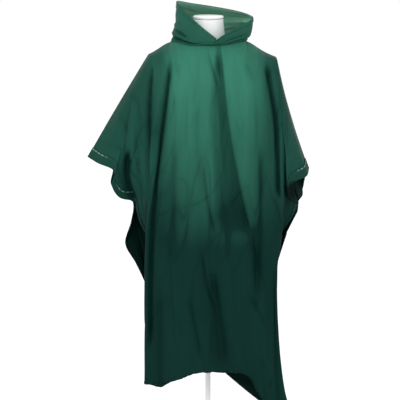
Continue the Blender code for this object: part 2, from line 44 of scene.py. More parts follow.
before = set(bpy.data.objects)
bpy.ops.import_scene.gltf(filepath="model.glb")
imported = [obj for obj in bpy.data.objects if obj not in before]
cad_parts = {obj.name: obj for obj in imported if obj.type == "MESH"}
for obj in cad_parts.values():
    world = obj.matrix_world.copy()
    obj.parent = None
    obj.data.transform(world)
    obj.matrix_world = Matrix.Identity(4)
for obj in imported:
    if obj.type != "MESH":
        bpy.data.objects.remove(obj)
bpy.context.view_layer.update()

# The sheet and how it is put together
SHEET = 0.0015
GAP = 0.0003
HEM_GAP = 0.0006
PANEL_FALL = 1.24
SHEET_HALF_WIDTH = 0.66
NECK_HALF_WIDTH = 0.133
NECK_RISE = 0.024
NECK_DIP = {-1: 0.007, 1: -0.006}
YOKE = 0.165
WING_HEM_SHARE = 0.09
HEM_STEPS = 5
ROW_CROWDING = 1.15
SNAP_FALL = 0.28
SNAP_RADIUS, SNAP_THICKNESS, SNAP_SIDES = 0.006, 0.002, 40
SNAP_COLOUR = (0.014, 0.06, 0.045)
FORM_BOTTOM, FORM_SIDES, FORM_STEPS = 0.84, 64, 60
CAP_RADIUS, CAP_THICKNESS, CAP_TILT, CAP_EDGE, CAP_CROWN = 0.0545, 0.010, 8.0, 0.003, 0.0008

# How square the body's sections are, how wide the sheet's rise beside the neck is, and from what
# share of the fall, and how suddenly, the front takes its hem's line
FACE_SQUARENESS, NECK_RISE_WIDTH = 2.6, 0.05
HEM_LINE_FROM, HEM_LINE_POWER = 0.55, 3

# Where the sheet is free to fold: by how far it faces front or back, and by the share of the fall.
# Where it hangs it is fully uneven, and where it lies on the shoulder it is this share of that. A
# wing's fold comes in over this share of its length.
FACING, FREE, HANGING, LYING_SHARE = (0.10, 0.55), (0.0, 0.10), (0.10, 0.35), 0.35
WING_FADE = 0.3

# The hood: its lift off the panels, its hem's share of the rise, the share of a fold's length over
# which each end dies away, the power of a pleat's section, the size that one half's pattern is laid
# out at, and the steps round and up
HOOD_LIFT, HOOD_HEM_SHARE = 0.0022, 0.12
HOOD_FADE, PLEAT_KEEN = 0.3, 1.4
HOOD_FLAT = (0.28, 0.26)
HOOD_STEPS, HOOD_QUICK_STEPS = (110, 64), (50, 30)
# How close its unevenness lies and how deep it is, and the shares of the rise where folds are let in
HOOD_UNEVEN_STRETCH, HOOD_UNEVEN = 1.6, 0.7
HOOD_FREE, HOOD_TOP = (0.0, 0.10), (0.84, 0.92)
# The hood's painted light: how light it looks at its seam, and how much more at its rim
HOOD_LIGHT, HOOD_RIM_LIGHT = 0.36, 0.14

# The weld's row of dashes: the length of a dash with its gap, from where to where half a gap ends,
# how far the row is from the hem's inner edge, from where to where half its width ends, and its depth
WELD_PITCH, WELD_GAP, WELD_IN = 0.019, (0.0022, 0.0030), 0.0035
WELD_HALF, WELD_DEPTH = (0.0012, 0.0022), 0.0008
# Its painted glint, the colour where it catches the light, which is here and there and near the start
# of a hem
WELD_LIGHT = (0.30, 0.42, 0.38)
WELD_GLINT = (0.54, 0.68, 0.04, 0.85)
WELD_START, WELD_START_SHARE = (0.070, 0.100), 0.55

# The lit inside of the hood, and its streaks
HOOD_INSIDE = (0.150, 0.350, 0.250)
HOOD_STREAKS, HOOD_STREAK_ALONG = 0.60, (0.16, 1.5, 1.0)

# The vinyl's gloss, how light it stays in the deepest shade, and the part of a noise that is used
VINYL_SPECULAR, DEEPEST_SHADE = 0.02, 0.10
NOISE_RANGE = (0.3, 0.7)

# The vinyl's relief, from its long puckers to its embossed grain
Relief = namedtuple("Relief", "scale stretch detail distance strength")
VINYL_RELIEF = (
    Relief(30.0, (1.0, 0.28, 1.0), 4.0, 0.006, 0.50),
    Relief(75.0, (1.0, 0.6, 1.0), 3.0, 0.0018, 0.60),
    Relief(620.0, (1.0, 1.0, 1.0), 2.0, 0.0003, 0.35),
)

# The camera: what it looks at, how far away it is, how many degrees up, and its lens
CAMERA_AIM, CAMERA_AWAY, CAMERA_RISE, CAMERA_LENS = (-0.029, 0.0, 0.935), 4.6, 5.0, 115.0

# The soft lamps of the studio
Lamp = namedtuple("Lamp", "name place aim size power")
LAMPS = (
    Lamp("key", (-1.6, -3.0, 3.0), (0, 0, 1.15), 1.6, 34.0),
    Lamp("fill", (2.2, -2.6, 2.0), (0, 0, 1.0), 2.0, 8.0),
)

# The paint on each piece of the stand
STAND_FINISHES = {
    "stand_base": "base paint",
    "stand_lower_pole": "base paint",
    "stand_pole": "pole paint",
    "form_collar": "pole paint",
}

# Painted light: how light the sheet looks on the form, lighter towards the top, by height and by place
# across
LightStep = namedtuple("LightStep", "place share")
LIGHT_UP = (
    LightStep(0.77, 0.00),
    LightStep(0.80, 0.05),
    LightStep(0.86, 0.17),
    LightStep(0.95, 0.31),
    LightStep(1.04, 0.41),
    LightStep(1.12, 0.50),
    LightStep(1.23, 0.72),
    LightStep(1.30, 0.88),
    LightStep(1.36, 1.00),
)
LIGHT_OVER = (
    LightStep(-0.240, 0.00),
    LightStep(-0.165, 0.14),
    LightStep(-0.152, 0.30),
    LightStep(-0.137, 0.58),
    LightStep(-0.100, 0.86),
    LightStep(-0.060, 1.00),
    LightStep(0.125, 1.00),
    LightStep(0.155, 0.74),
    LightStep(0.180, 0.48),
    LightStep(0.204, 0.14),
    LightStep(0.240, 0.00),
)

# How far out the body's painted light dies away, from the corner line at 1, and the sleeves' painted
# light, lighter higher up, with the heights over which it comes in
BODY_EDGE = (1.0, 1.2)
SLEEVE_LIGHT, SLEEVE_UP = 0.24, (0.82, 1.10)

# Painted shade in the folds: how much of its lightness a fold takes, how far it darkens what is dark,
# from what depth to what, and how much a thin crinkle takes
FOLD_SHADE, FOLD_DARK = 0.42, 0.24
SHADE_FROM, SHADE_FULL = 0.002, 0.020
CRINKLE_SHADE = 0.15

# The sheet's unevenness, as layers of noise: its waves a metre across and down, where in the noise it
# is taken from, and the power that thins it to lines, or 0 where it stays smooth
NoiseLayer = namedtuple("NoiseLayer", "across down offset thinness")
SOFT = NoiseLayer(9.0, 1.3, 0.0, 0)
FINE = NoiseLayer(30.0, 9.0, 11.0, 0)
FALLS = NoiseLayer(8.0, 2.0, 7.3, 16)
SLANTS = NoiseLayer(6.0, 4.6, 3.1, 20)
THIN = NoiseLayer(15.0, 4.0, 5.7, 16)
BROKEN = NoiseLayer(3.0, 2.6, 21.0, 0)
# How deep its soft falls, its fine pucker and its crinkles are, and the strength of two of the lines
SOFT_DEPTH, FINE_DEPTH, CRINKLE_DEPTH = 0.0034, 0.0008, 0.0040
SLANT_SHARE, THIN_SHARE = 0.8, 0.6
# The part of the broken layer over which one kind of line gives way to the other
BROKEN_RANGE = (-0.25, 0.35)
# Where in the noise the hood's unevenness is taken from, and the panels', one to each side of this
HOOD_OFFSET, PANEL_OFFSET = 9.0, 2.0

# The shade where the front turns in behind the right snap: its middle, half its size, how dark it is
# and from where to where it fades
SLEEVE_SHADE = ((0.300, 0.975), (0.030, 0.036), 0.75)
SLEEVE_SHADE_FADE = (0.5, 1.1)

# A section across a panel's face, by its share of the fall: where the two corner lines run, the
# height of the middle, and how far the middle and the corners stand off the body's centre plane.
Face = namedtuple("Face", "fall left left_z right right_z middle_z middle_y corner_y")
FRONT_FACE_SECTIONS = (
    Face(0.000, -0.212, 1.454, 0.241, 1.446, 1.490, -0.095, 0.000),
    Face(0.040, -0.206, 1.442, 0.243, 1.434, 1.464, -0.112, -0.045),
    Face(0.080, -0.196, 1.414, 0.245, 1.406, 1.436, -0.126, -0.078),
    Face(0.120, -0.185, 1.372, 0.246, 1.364, 1.402, -0.137, -0.096),
    Face(0.165, -0.176, 1.318, 0.249, 1.312, 1.358, -0.146, -0.106),
    Face(0.300, -0.180, 1.150, 0.256, 1.145, 1.190, -0.153, -0.112),
    Face(0.420, -0.198, 1.000, 0.260, 0.990, 1.042, -0.152, -0.114),
    Face(0.550, -0.214, 0.835, 0.258, 0.830, 0.880, -0.148, -0.116),
    Face(0.660, -0.219, 0.700, 0.243, 0.700, 0.745, -0.146, -0.118),
    Face(0.800, -0.221, 0.525, 0.250, 0.485, 0.575, -0.148, -0.120),
    Face(1.000, -0.223, 0.290, 0.303, 0.205, 0.335, -0.152, -0.124),
)
BACK_FACE_SECTIONS = (
    Face(0.000, -0.212, 1.454, 0.241, 1.446, 1.490, 0.090, 0.000),
    Face(0.040, -0.211, 1.440, 0.243, 1.432, 1.476, 0.106, 0.045),
    Face(0.080, -0.210, 1.412, 0.246, 1.405, 1.448, 0.121, 0.080),
    Face(0.120, -0.208, 1.370, 0.247, 1.362, 1.410, 0.134, 0.102),
    Face(0.165, -0.206, 1.318, 0.247, 1.312, 1.362, 0.143, 0.114),
    Face(0.300, -0.205, 1.150, 0.248, 1.145, 1.195, 0.150, 0.120),
    Face(0.420, -0.208, 1.000, 0.248, 0.990, 1.042, 0.150, 0.122),
    Face(0.550, -0.210, 0.840, 0.243, 0.835, 0.880, 0.150, 0.122),
    Face(0.660, -0.212, 0.700, 0.238, 0.700, 0.740, 0.152, 0.124),
    Face(0.800, -0.214, 0.525, 0.238, 0.520, 0.570, 0.158, 0.130),
    Face(1.000, -0.216, 0.290, 0.244, 0.270, 0.330, 0.166, 0.138),
)

# A point on a panel's side edge, by the share of the fall, and how far the wing bows between the
# corner line and that edge. Above the snap the edge is the sleeve's mouth.
Edge = namedtuple("Edge", "fall x y z bow_x bow_y bow_z", defaults=[0.0])
FRONT_LEFT_EDGE = (
    Edge(0.000, -0.431, 0.000, 1.090, -0.004, 0.000),
    Edge(0.040, -0.391, -0.040, 1.070, -0.008, -0.030),
    Edge(0.090, -0.335, -0.062, 1.047, -0.020, -0.040),
    Edge(0.150, -0.344, -0.040, 0.992, -0.030, -0.035),
    Edge(0.210, -0.322, -0.014, 0.950, -0.028, -0.025),
    Edge(0.280, -0.268, -0.004, 0.923, -0.022, -0.020),
    Edge(0.360, -0.240, -0.006, 0.845, -0.018, 0.000),
    Edge(0.460, -0.170, -0.020, 0.745, -0.050, 0.045),
    Edge(0.600, -0.100, -0.040, 0.610, -0.085, 0.070),
    Edge(0.800, -0.070, -0.055, 0.440, -0.100, 0.080),
    Edge(1.000, -0.060, -0.055, 0.310, -0.105, 0.080),
)
FRONT_RIGHT_EDGE = (
    Edge(0.000, 0.360, 0.000, 1.050, -0.016, 0.000),
    Edge(0.040, 0.350, -0.036, 1.025, -0.012, -0.030),
    Edge(0.090, 0.312, -0.064, 1.010, 0.000, -0.035),
    Edge(0.135, 0.286, -0.080, 0.994, 0.004, -0.030),
    Edge(0.180, 0.281, -0.080, 0.968, 0.006, -0.020),
    Edge(0.225, 0.290, -0.066, 0.944, 0.006, -0.015),
    Edge(0.280, 0.320, -0.026, 0.928, 0.004, -0.005),
    Edge(0.360, 0.302, -0.004, 0.872, 0.006, 0.022),
    Edge(0.440, 0.252, -0.008, 0.800, 0.016, 0.030),
    Edge(0.550, 0.185, -0.025, 0.700, 0.040, 0.055),
    Edge(0.680, 0.130, -0.045, 0.590, 0.070, 0.075),
    Edge(0.850, 0.095, -0.055, 0.420, 0.105, 0.085, -0.050),
    Edge(1.000, 0.062, -0.060, 0.316, 0.128, 0.075, -0.175),
)
BACK_LEFT_EDGE = (
    Edge(0.000, -0.431, 0.000, 1.090, -0.004, 0.000),
    Edge(0.040, -0.394, 0.032, 1.077, -0.008, 0.030),
    Edge(0.090, -0.345, 0.055, 1.050, -0.015, 0.040),
    Edge(0.150, -0.351, 0.060, 0.984, -0.016, 0.040),
    Edge(0.210, -0.312, 0.038, 0.946, -0.012, 0.035),
    Edge(0.280, -0.268, 0.008, 0.923, -0.010, 0.030),
    Edge(0.360, -0.278, 0.030, 0.848, -0.006, 0.020),
    Edge(0.440, -0.299, 0.045, 0.770, -0.006, 0.010),
    Edge(0.520, -0.262, 0.045, 0.700, -0.010, 0.000),
    Edge(0.620, -0.215, 0.045, 0.600, -0.024, -0.025),
    Edge(0.800, -0.110, 0.065, 0.440, -0.080, -0.065),
    Edge(1.000, -0.090, 0.075, 0.310, -0.090, -0.075),
)
BACK_RIGHT_EDGE = (
    Edge(0.000, 0.360, 0.000, 1.050, -0.016, 0.000),
    Edge(0.040, 0.355, 0.030, 1.036, -0.006, 0.030),
    Edge(0.090, 0.350, 0.050, 1.010, 0.000, 0.040),
    Edge(0.150, 0.345, 0.055, 0.975, 0.006, 0.040),
    Edge(0.210, 0.343, 0.035, 0.950, 0.008, 0.035),
    Edge(0.280, 0.323, -0.014, 0.930, 0.010, 0.030),
    Edge(0.360, 0.320, 0.030, 0.885, 0.008, 0.025),
    Edge(0.440, 0.290, 0.042, 0.822, 0.008, 0.015),
    Edge(0.520, 0.266, 0.045, 0.750, 0.010, 0.000),
    Edge(0.620, 0.228, 0.045, 0.640, 0.020, -0.020),
    Edge(0.800, 0.120, 0.065, 0.440, 0.080, -0.065),
    Edge(1.000, 0.100, 0.075, 0.300, 0.090, -0.075),
)

# The bottom hem's height across the front, which hangs lowest at its corners.
HemPoint = namedtuple("HemPoint", "x z")
FRONT_HEM_LINE = (
    HemPoint(-0.223, 0.290),
    HemPoint(-0.184, 0.291),
    HemPoint(-0.150, 0.297),
    HemPoint(-0.097, 0.314),
    HemPoint(-0.055, 0.333),
    HemPoint(0.000, 0.341),
    HemPoint(0.060, 0.341),
    HemPoint(0.120, 0.334),
    HemPoint(0.150, 0.318),
    HemPoint(0.178, 0.262),
    HemPoint(0.205, 0.222),
    HemPoint(0.303, 0.205),
)

# A crease runs down the front or the back, by height from its top to its foot. Its path is given
# by where it is across at its top, middle and foot, and its reach by how far it spreads to each
# side. A positive depth is a valley and a negative one a rib. Keen is its section's power: 1 is a
# sharp bottom and 2 a round one. Fade is the share of its length over which each end dies away.
Crease = namedtuple(
    "Crease", "top foot x_top x_middle x_foot left_top left_foot right_top right_foot depth keen fade"
)
FRONT_CREASES = (
    # The centre pleat: broad on its left, with a crisp right edge
    Crease(1.545, 0.800, 0.034, 0.072, 0.148, 0.004, 0.108, 0.004, 0.009, 0.034, 2.0, 0.14),
    Crease(1.495, 1.340, -0.006, 0.012, 0.038, 0.005, 0.006, 0.006, 0.006, 0.010, 1.1, 0.20),
    Crease(1.440, 0.840, 0.068, 0.102, 0.176, 0.010, 0.014, 0.046, 0.034, -0.012, 1.6, 0.20),
    Crease(1.340, 0.960, 0.030, 0.040, 0.056, 0.007, 0.010, 0.010, 0.014, -0.006, 1.2, 0.30),
    Crease(1.150, 0.850, 0.010, 0.016, 0.004, 0.012, 0.014, 0.010, 0.012, -0.005, 1.3, 0.30),
    # The long deep fold on the left, and its rib and smaller neighbour
    Crease(1.470, 0.380, -0.131, -0.198, -0.214, 0.006, 0.007, 0.011, 0.016, 0.028, 1.1, 0.10),
    Crease(1.400, 0.760, -0.152, -0.204, -0.222, 0.012, 0.010, 0.008, 0.008, -0.010, 1.5, 0.25),
    Crease(1.460, 0.930, -0.198, -0.206, -0.216, 0.010, 0.014, 0.006, 0.006, 0.018, 1.2, 0.18),
    Crease(1.450, 1.380, -0.118, -0.114, -0.108, 0.006, 0.006, 0.008, 0.008, 0.006, 1.1, 0.30),
    Crease(1.440, 1.340, -0.096, -0.104, -0.108, 0.007, 0.007, 0.006, 0.008, 0.005, 1.1, 0.30),
    Crease(1.330, 1.200, -0.112, -0.124, -0.140, 0.007, 0.008, 0.006, 0.007, 0.006, 1.1, 0.30),
    # The left sleeve's folds above the snap
    Crease(1.140, 0.900, -0.276, -0.288, -0.258, 0.012, 0.014, 0.008, 0.010, 0.028, 1.2, 0.25),
    Crease(1.125, 1.050, -0.254, -0.268, -0.286, 0.007, 0.007, 0.006, 0.006, 0.010, 1.1, 0.25),
    Crease(1.250, 1.000, -0.266, -0.264, -0.250, 0.016, 0.018, 0.014, 0.012, -0.013, 1.6, 0.35),
    Crease(1.180, 1.020, -0.248, -0.246, -0.238, 0.008, 0.009, 0.007, 0.007, 0.009, 1.2, 0.35),
    Crease(1.360, 1.100, -0.262, -0.284, -0.312, 0.010, 0.016, 0.008, 0.010, 0.009, 1.2, 0.35),
    Crease(1.300, 1.130, -0.330, -0.344, -0.352, 0.012, 0.012, 0.010, 0.010, 0.005, 1.3, 0.35),
    # The line down the right sleeve, and the rib and falls beside it
    Crease(1.450, 0.930, 0.206, 0.246, 0.256, 0.018, 0.016, 0.005, 0.005, 0.024, 1.2, 0.12),
    Crease(1.300, 0.900, 0.200, 0.208, 0.218, 0.010, 0.012, 0.008, 0.010, -0.010, 1.3, 0.25),
    Crease(1.190, 0.600, 0.188, 0.184, 0.178, 0.014, 0.018, 0.009, 0.012, 0.016, 1.4, 0.25),
    Crease(1.430, 1.350, 0.134, 0.144, 0.162, 0.007, 0.008, 0.006, 0.008, 0.006, 1.1, 0.30),
    Crease(1.400, 1.020, 0.158, 0.168, 0.160, 0.010, 0.014, 0.008, 0.010, 0.007, 1.3, 0.30),
    Crease(1.320, 1.090, 0.284, 0.300, 0.322, 0.010, 0.012, 0.008, 0.010, 0.006, 1.3, 0.35),
    # The soft falls on the left of the chest
    Crease(1.400, 0.960, -0.080, -0.074, -0.058, 0.018, 0.020, 0.010, 0.014, 0.005, 1.4, 0.30),
    Crease(1.350, 0.930, -0.034, -0.038, -0.020, 0.014, 0.018, 0.008, 0.012, 0.006, 1.3, 0.30),
    Crease(1.230, 0.700, -0.114, -0.122, -0.118, 0.020, 0.024, 0.012, 0.016, 0.009, 1.5, 0.30),
    Crease(1.110, 0.790, -0.020, -0.004, 0.032, 0.010, 0.010, 0.007, 0.007, 0.009, 1.1, 0.25),
    Crease(0.960, 0.700, 0.060, 0.072, 0.066, 0.014, 0.022, 0.010, 0.014, 0.010, 1.3, 0.30),
    # The skirt
    Crease(0.850, 0.700, -0.150, -0.136, -0.112, 0.014, 0.026, 0.014, 0.020, 0.009, 1.4, 0.35),
    Crease(0.780, 0.560, -0.024, -0.008, 0.026, 0.008, 0.009, 0.006, 0.006, 0.012, 1.1, 0.22),
    Crease(0.640, 0.360, -0.076, -0.046, -0.020, 0.012, 0.012, 0.006, 0.007, 0.012, 1.1, 0.26),
    Crease(0.740, 0.310, 0.010, 0.036, 0.058, 0.014, 0.040, 0.012, 0.030, 0.026, 1.5, 0.26),
    Crease(0.560, 0.310, 0.004, 0.000, -0.006, 0.010, 0.014, 0.008, 0.010, -0.008, 1.4, 0.30),
    Crease(0.620, 0.480, 0.150, 0.180, 0.216, 0.010, 0.010, 0.007, 0.007, 0.010, 1.1, 0.25),
    Crease(0.900, 0.520, 0.152, 0.176, 0.166, 0.020, 0.030, 0.012, 0.016, 0.016, 1.5, 0.30),
    Crease(0.760, 0.100, 0.236, 0.242, 0.262, 0.012, 0.018, 0.010, 0.010, 0.014, 1.4, 0.25),
    Crease(0.700, 0.140, -0.176, -0.172, -0.168, 0.020, 0.026, 0.014, 0.022, 0.015, 1.5, 0.25),
    Crease(0.460, 0.140, -0.110, -0.104, -0.092, 0.014, 0.022, 0.012, 0.018, -0.009, 1.5, 0.35),
    Crease(0.400, 0.335, 0.180, 0.194, 0.216, 0.007, 0.007, 0.006, 0.006, 0.008, 1.1, 0.30),
    Crease(0.330, 0.260, 0.232, 0.222, 0.208, 0.007, 0.007, 0.006, 0.006, 0.008, 1.1, 0.30),
    Crease(0.440, 0.150, 0.178, 0.186, 0.196, 0.010, 0.014, 0.010, 0.012, -0.012, 1.5, 0.35),
)
BACK_CREASES = (
    Crease(1.470, 0.100, -0.104, -0.122, -0.110, 0.018, 0.040, 0.012, 0.030, 0.026, 1.6, 0.16),
    Crease(1.430, 0.100, 0.006, 0.020, 0.036, 0.012, 0.040, 0.016, 0.046, 0.028, 1.7, 0.16),
    Crease(1.460, 0.100, 0.128, 0.140, 0.150, 0.010, 0.034, 0.014, 0.026, 0.024, 1.6, 0.16),
    Crease(1.460, 0.700, 0.190, 0.204, 0.196, 0.010, 0.018, 0.008, 0.014, 0.015, 1.4, 0.22),
    Crease(1.450, 0.640, -0.174, -0.190, -0.182, 0.009, 0.014, 0.012, 0.018, 0.017, 1.4, 0.22),
    Crease(1.360, 0.840, -0.050, -0.062, -0.048, 0.012, 0.018, 0.010, 0.014, 0.007, 1.5, 0.30),
    Crease(1.300, 0.780, 0.072, 0.080, 0.092, 0.010, 0.016, 0.014, 0.016, 0.008, 1.6, 0.30),
    Crease(1.440, 1.340, 0.066, 0.078, 0.100, 0.005, 0.007, 0.006, 0.008, 0.003, 1.2, 0.30),
    Crease(1.440, 1.330, -0.090, -0.076, -0.060, 0.006, 0.006, 0.004, 0.006, 0.003, 1.2, 0.30),
    Crease(1.160, 0.930, -0.272, -0.286, -0.270, 0.010, 0.014, 0.012, 0.016, 0.018, 1.5, 0.30),
    Crease(1.150, 0.940, 0.276, 0.290, 0.282, 0.010, 0.014, 0.012, 0.014, 0.016, 1.5, 0.30),
    Crease(0.880, 0.620, -0.012, -0.026, -0.044, 0.006, 0.008, 0.005, 0.006, 0.007, 1.2, 0.25),
    Crease(0.800, 0.540, 0.090, 0.110, 0.104, 0.006, 0.008, 0.006, 0.008, 0.008, 1.2, 0.25),
    Crease(0.620, 0.360, -0.166, -0.150, -0.158, 0.008, 0.010, 0.006, 0.010, 0.009, 1.3, 0.25),
    Crease(0.700, 0.080, -0.020, -0.034, -0.040, 0.014, 0.030, 0.014, 0.024, -0.012, 1.9, 0.30),
    Crease(0.660, 0.080, 0.088, 0.094, 0.098, 0.014, 0.024, 0.014, 0.026, -0.012, 1.9, 0.30),
    Crease(0.640, 0.100, 0.196, 0.200, 0.210, 0.014, 0.022, 0.014, 0.018, 0.014, 1.7, 0.30),
    Crease(0.560, 0.100, -0.190, -0.196, -0.200, 0.012, 0.018, 0.012, 0.016, 0.012, 1.7, 0.30),
)

# A wing's fold, by share of the fall and by how far out it is, from 1 at the corner line to 2 at the
# side edge, with the hand of the wing it is on.
WingFold = namedtuple("WingFold", "hand start end out_start out_end half depth")
FRONT_WING_FOLDS = (
    WingFold(-1, 0.34, 1.30, 1.34, 1.40, 0.070, 0.020),
    WingFold(-1, 0.46, 1.30, 1.62, 1.60, 0.060, -0.018),
    WingFold(1, 0.38, 1.30, 1.36, 1.34, 0.080, 0.018),
    WingFold(1, 0.48, 1.30, 1.66, 1.60, 0.060, -0.018),
)
BACK_WING_FOLDS = (
    WingFold(-1, 0.30, 1.30, 1.30, 1.38, 0.070, 0.016),
    WingFold(-1, 0.42, 1.30, 1.60, 1.64, 0.060, -0.016),
    WingFold(1, 0.30, 1.30, 1.34, 1.36, 0.070, 0.016),
    WingFold(1, 0.44, 1.30, 1.64, 1.62, 0.060, -0.016),
)

# A fold that runs round the hood, by turn from the front point, and by its rise at each end from
# 0 at the seam to 1 at the rim.
HoodFold = namedtuple("HoodFold", "start end rise_start rise_middle rise_end half depth keen")
HOOD_FOLDS = (
    HoodFold(4, 112, 0.20, 0.26, 0.30, 0.050, 0.016, 1.2),
    HoodFold(34, 106, 0.40, 0.46, 0.52, 0.040, 0.014, 1.2),
    HoodFold(14, 96, 0.32, 0.37, 0.42, 0.050, -0.010, 1.6),
    HoodFold(56, 122, 0.62, 0.65, 0.60, 0.040, 0.010, 1.2),
    HoodFold(96, 200, 0.36, 0.30, 0.34, 0.050, 0.014, 1.2),
    HoodFold(120, 236, 0.56, 0.60, 0.54, 0.060, 0.014, 1.3),
    HoodFold(170, 290, 0.30, 0.34, 0.26, 0.050, 0.013, 1.2),
    HoodFold(150, 220, 0.78, 0.76, 0.80, 0.050, 0.007, 1.4),
    HoodFold(262, 352, 0.22, 0.20, 0.16, 0.050, 0.010, 1.2),
    HoodFold(140, 252, 0.68, 0.70, 0.66, 0.028, 0.007, 1.1),
    HoodFold(128, 246, 0.46, 0.50, 0.40, 0.028, 0.008, 1.1),
    HoodFold(176, 262, 0.84, 0.86, 0.80, 0.024, 0.005, 1.1),
    HoodFold(292, 344, 0.52, 0.46, 0.40, 0.050, 0.007, 1.3),
)

# A pleat that runs up the hood from its seam, by its turn low and high.
HoodPleat = namedtuple("HoodPleat", "low high rise_start rise_end half depth")
HOOD_PLEATS = (
    HoodPleat(112, 102, 0.12, 0.86, 4.0, 0.009),
    HoodPleat(128, 118, 0.10, 0.88, 4.0, 0.011),
    HoodPleat(146, 138, 0.05, 0.92, 3.5, 0.013),
    HoodPleat(161, 156, 0.10, 0.88, 3.5, 0.010),
    HoodPleat(176, 178, 0.08, 0.90, 3.5, 0.012),
    HoodPleat(193, 198, 0.10, 0.92, 3.5, 0.013),
    HoodPleat(208, 217, 0.06, 0.90, 3.5, 0.012),
    HoodPleat(222, 236, 0.10, 0.94, 3.5, 0.014),
    HoodPleat(238, 254, 0.08, 0.90, 3.0, 0.011),
    HoodPleat(56, 64, 0.04, 0.40, 4.0, 0.006),
    HoodPleat(82, 86, 0.04, 0.44, 4.0, 0.007),
    HoodPleat(278, 272, 0.04, 0.46, 4.0, 0.007),
)

# A ring of the dress form: half its width and depth, how far forward its middle sits, and how far it
# leans forward, in degrees.
FormRing = namedtuple("FormRing", "z half_width half_depth forward squareness lean", defaults=[0.0])
FORM_RINGS = (
    FormRing(FORM_BOTTOM, 0.150, 0.098, 0.000, 2.3),
    FormRing(0.860, 0.158, 0.104, 0.000, 2.3),
    FormRing(0.940, 0.156, 0.103, 0.000, 2.3),
    FormRing(1.050, 0.146, 0.098, 0.000, 2.3),
    FormRing(1.160, 0.155, 0.107, 0.002, 2.3),
    FormRing(1.260, 0.166, 0.108, 0.000, 2.2),
    FormRing(1.330, 0.176, 0.104, 0.000, 2.2),
    FormRing(1.380, 0.184, 0.092, 0.000, 2.2),
    FormRing(1.408, 0.184, 0.078, 0.000, 2.2),
    FormRing(1.428, 0.172, 0.067, 0.000, 2.1),
    FormRing(1.443, 0.145, 0.061, 0.000, 2.1),
    FormRing(1.457, 0.112, 0.058, 0.000, 2.0),
    FormRing(1.474, 0.086, 0.058, 0.000, 2.0),
    FormRing(1.495, 0.066, 0.057, 0.000, 2.0),
    FormRing(1.530, 0.059, 0.056, 0.002, 2.0, 2.0),
    FormRing(1.582, 0.054, 0.054, 0.004, 2.0, CAP_TILT),
)

# A station round the hood, by its turn from the front point of the face opening: where its rim is,
# and how far the sheet between the seam and the rim swells out and slumps.
HoodStation = namedtuple("HoodStation", "turn rim_x rim_y rim_z low_out low_drop high_out high_drop")
HOOD_STATIONS = (
    HoodStation(0, 0.029, -0.118, 1.506, 0.012, 0.004, 0.002, 0.006),
    HoodStation(40, -0.045, -0.098, 1.568, 0.010, 0.006, 0.000, 0.020),
    HoodStation(80, -0.105, -0.030, 1.632, 0.006, 0.006, 0.000, 0.050),
    HoodStation(110, -0.106, 0.050, 1.648, 0.010, 0.010, 0.014, 0.065),
    HoodStation(145, -0.064, 0.118, 1.644, 0.070, 0.044, 0.085, 0.100),
    HoodStation(180, 0.010, 0.145, 1.634, 0.110, 0.070, 0.130, 0.120),
    HoodStation(215, 0.086, 0.122, 1.619, 0.072, 0.044, 0.090, 0.100),
    HoodStation(250, 0.142, 0.058, 1.600, 0.018, 0.012, 0.018, 0.055),
    HoodStation(280, 0.156, -0.020, 1.582, 0.014, 0.008, 0.004, 0.035),
    HoodStation(320, 0.100, -0.092, 1.547, 0.014, 0.006, 0.004, 0.016),
    HoodStation(360, 0.031, -0.118, 1.506, 0.012, 0.004, 0.002, 0.006),
)

# A panel: its name, the side it is on, its sections, its side edges, its creases and its wings' folds
PANELS = (
    (
        "front", -1, FRONT_FACE_SECTIONS, (FRONT_LEFT_EDGE, FRONT_RIGHT_EDGE),
        FRONT_CREASES, FRONT_WING_FOLDS,
    ),
    (
        "back", 1, BACK_FACE_SECTIONS, (BACK_LEFT_EDGE, BACK_RIGHT_EDGE),
        BACK_CREASES, BACK_WING_FOLDS,
    ),
)

# The snap cap's profile from its seat to its dished top, as shares of its radius and thickness
SNAP_PROFILE = (
    (0.0, 0.0), (0.94, 0.0), (1.0, 0.2), (1.0, 0.5), (0.90, 0.85), (0.74, 1.0), (0.60, 0.9),
    (0.45, 0.72), (0.0, 0.68),
)


def smooth_between(places, values, at):
    """A smooth curve through the values, with a slope at each place from its neighbours."""
    places = np.asarray(places, float)
    values = np.asarray(values, float)
    slopes = np.gradient(values, places)
    at = np.clip(np.asarray(at, float), places[0], places[-1])
    left = np.clip(np.searchsorted(places, at, side="right") - 1, 0, len(places) - 2)
    span = places[left + 1] - places[left]
    t = (at - places[left]) / span
    start = values[left] * (2 * t**3 - 3 * t**2 + 1) + slopes[left] * span * (t**3 - 2 * t**2 + t)
    end = values[left + 1] * (3 * t**2 - 2 * t**3) + slopes[left + 1] * span * (t**3 - t**2)
    return start + end


def column(table, name, at):
    """One named column of a table, read smoothly along its first column."""
    return smooth_between([row[0] for row in table], [getattr(row, name) for row in table], at)


def ramp(value, low, high):
    """0 up to low and 1 from high, with a smooth rise between them."""
    t = np.clip((value - low) / (high - low), 0.0, 1.0)
    return t * t * (3 - 2 * t)


def dying_ends(share, fade):
    """1 along a fold, dying away over this share of it at each end."""
    return ramp(share, 0.0, fade) * (1 - ramp(share, 1 - fade, 1.0))


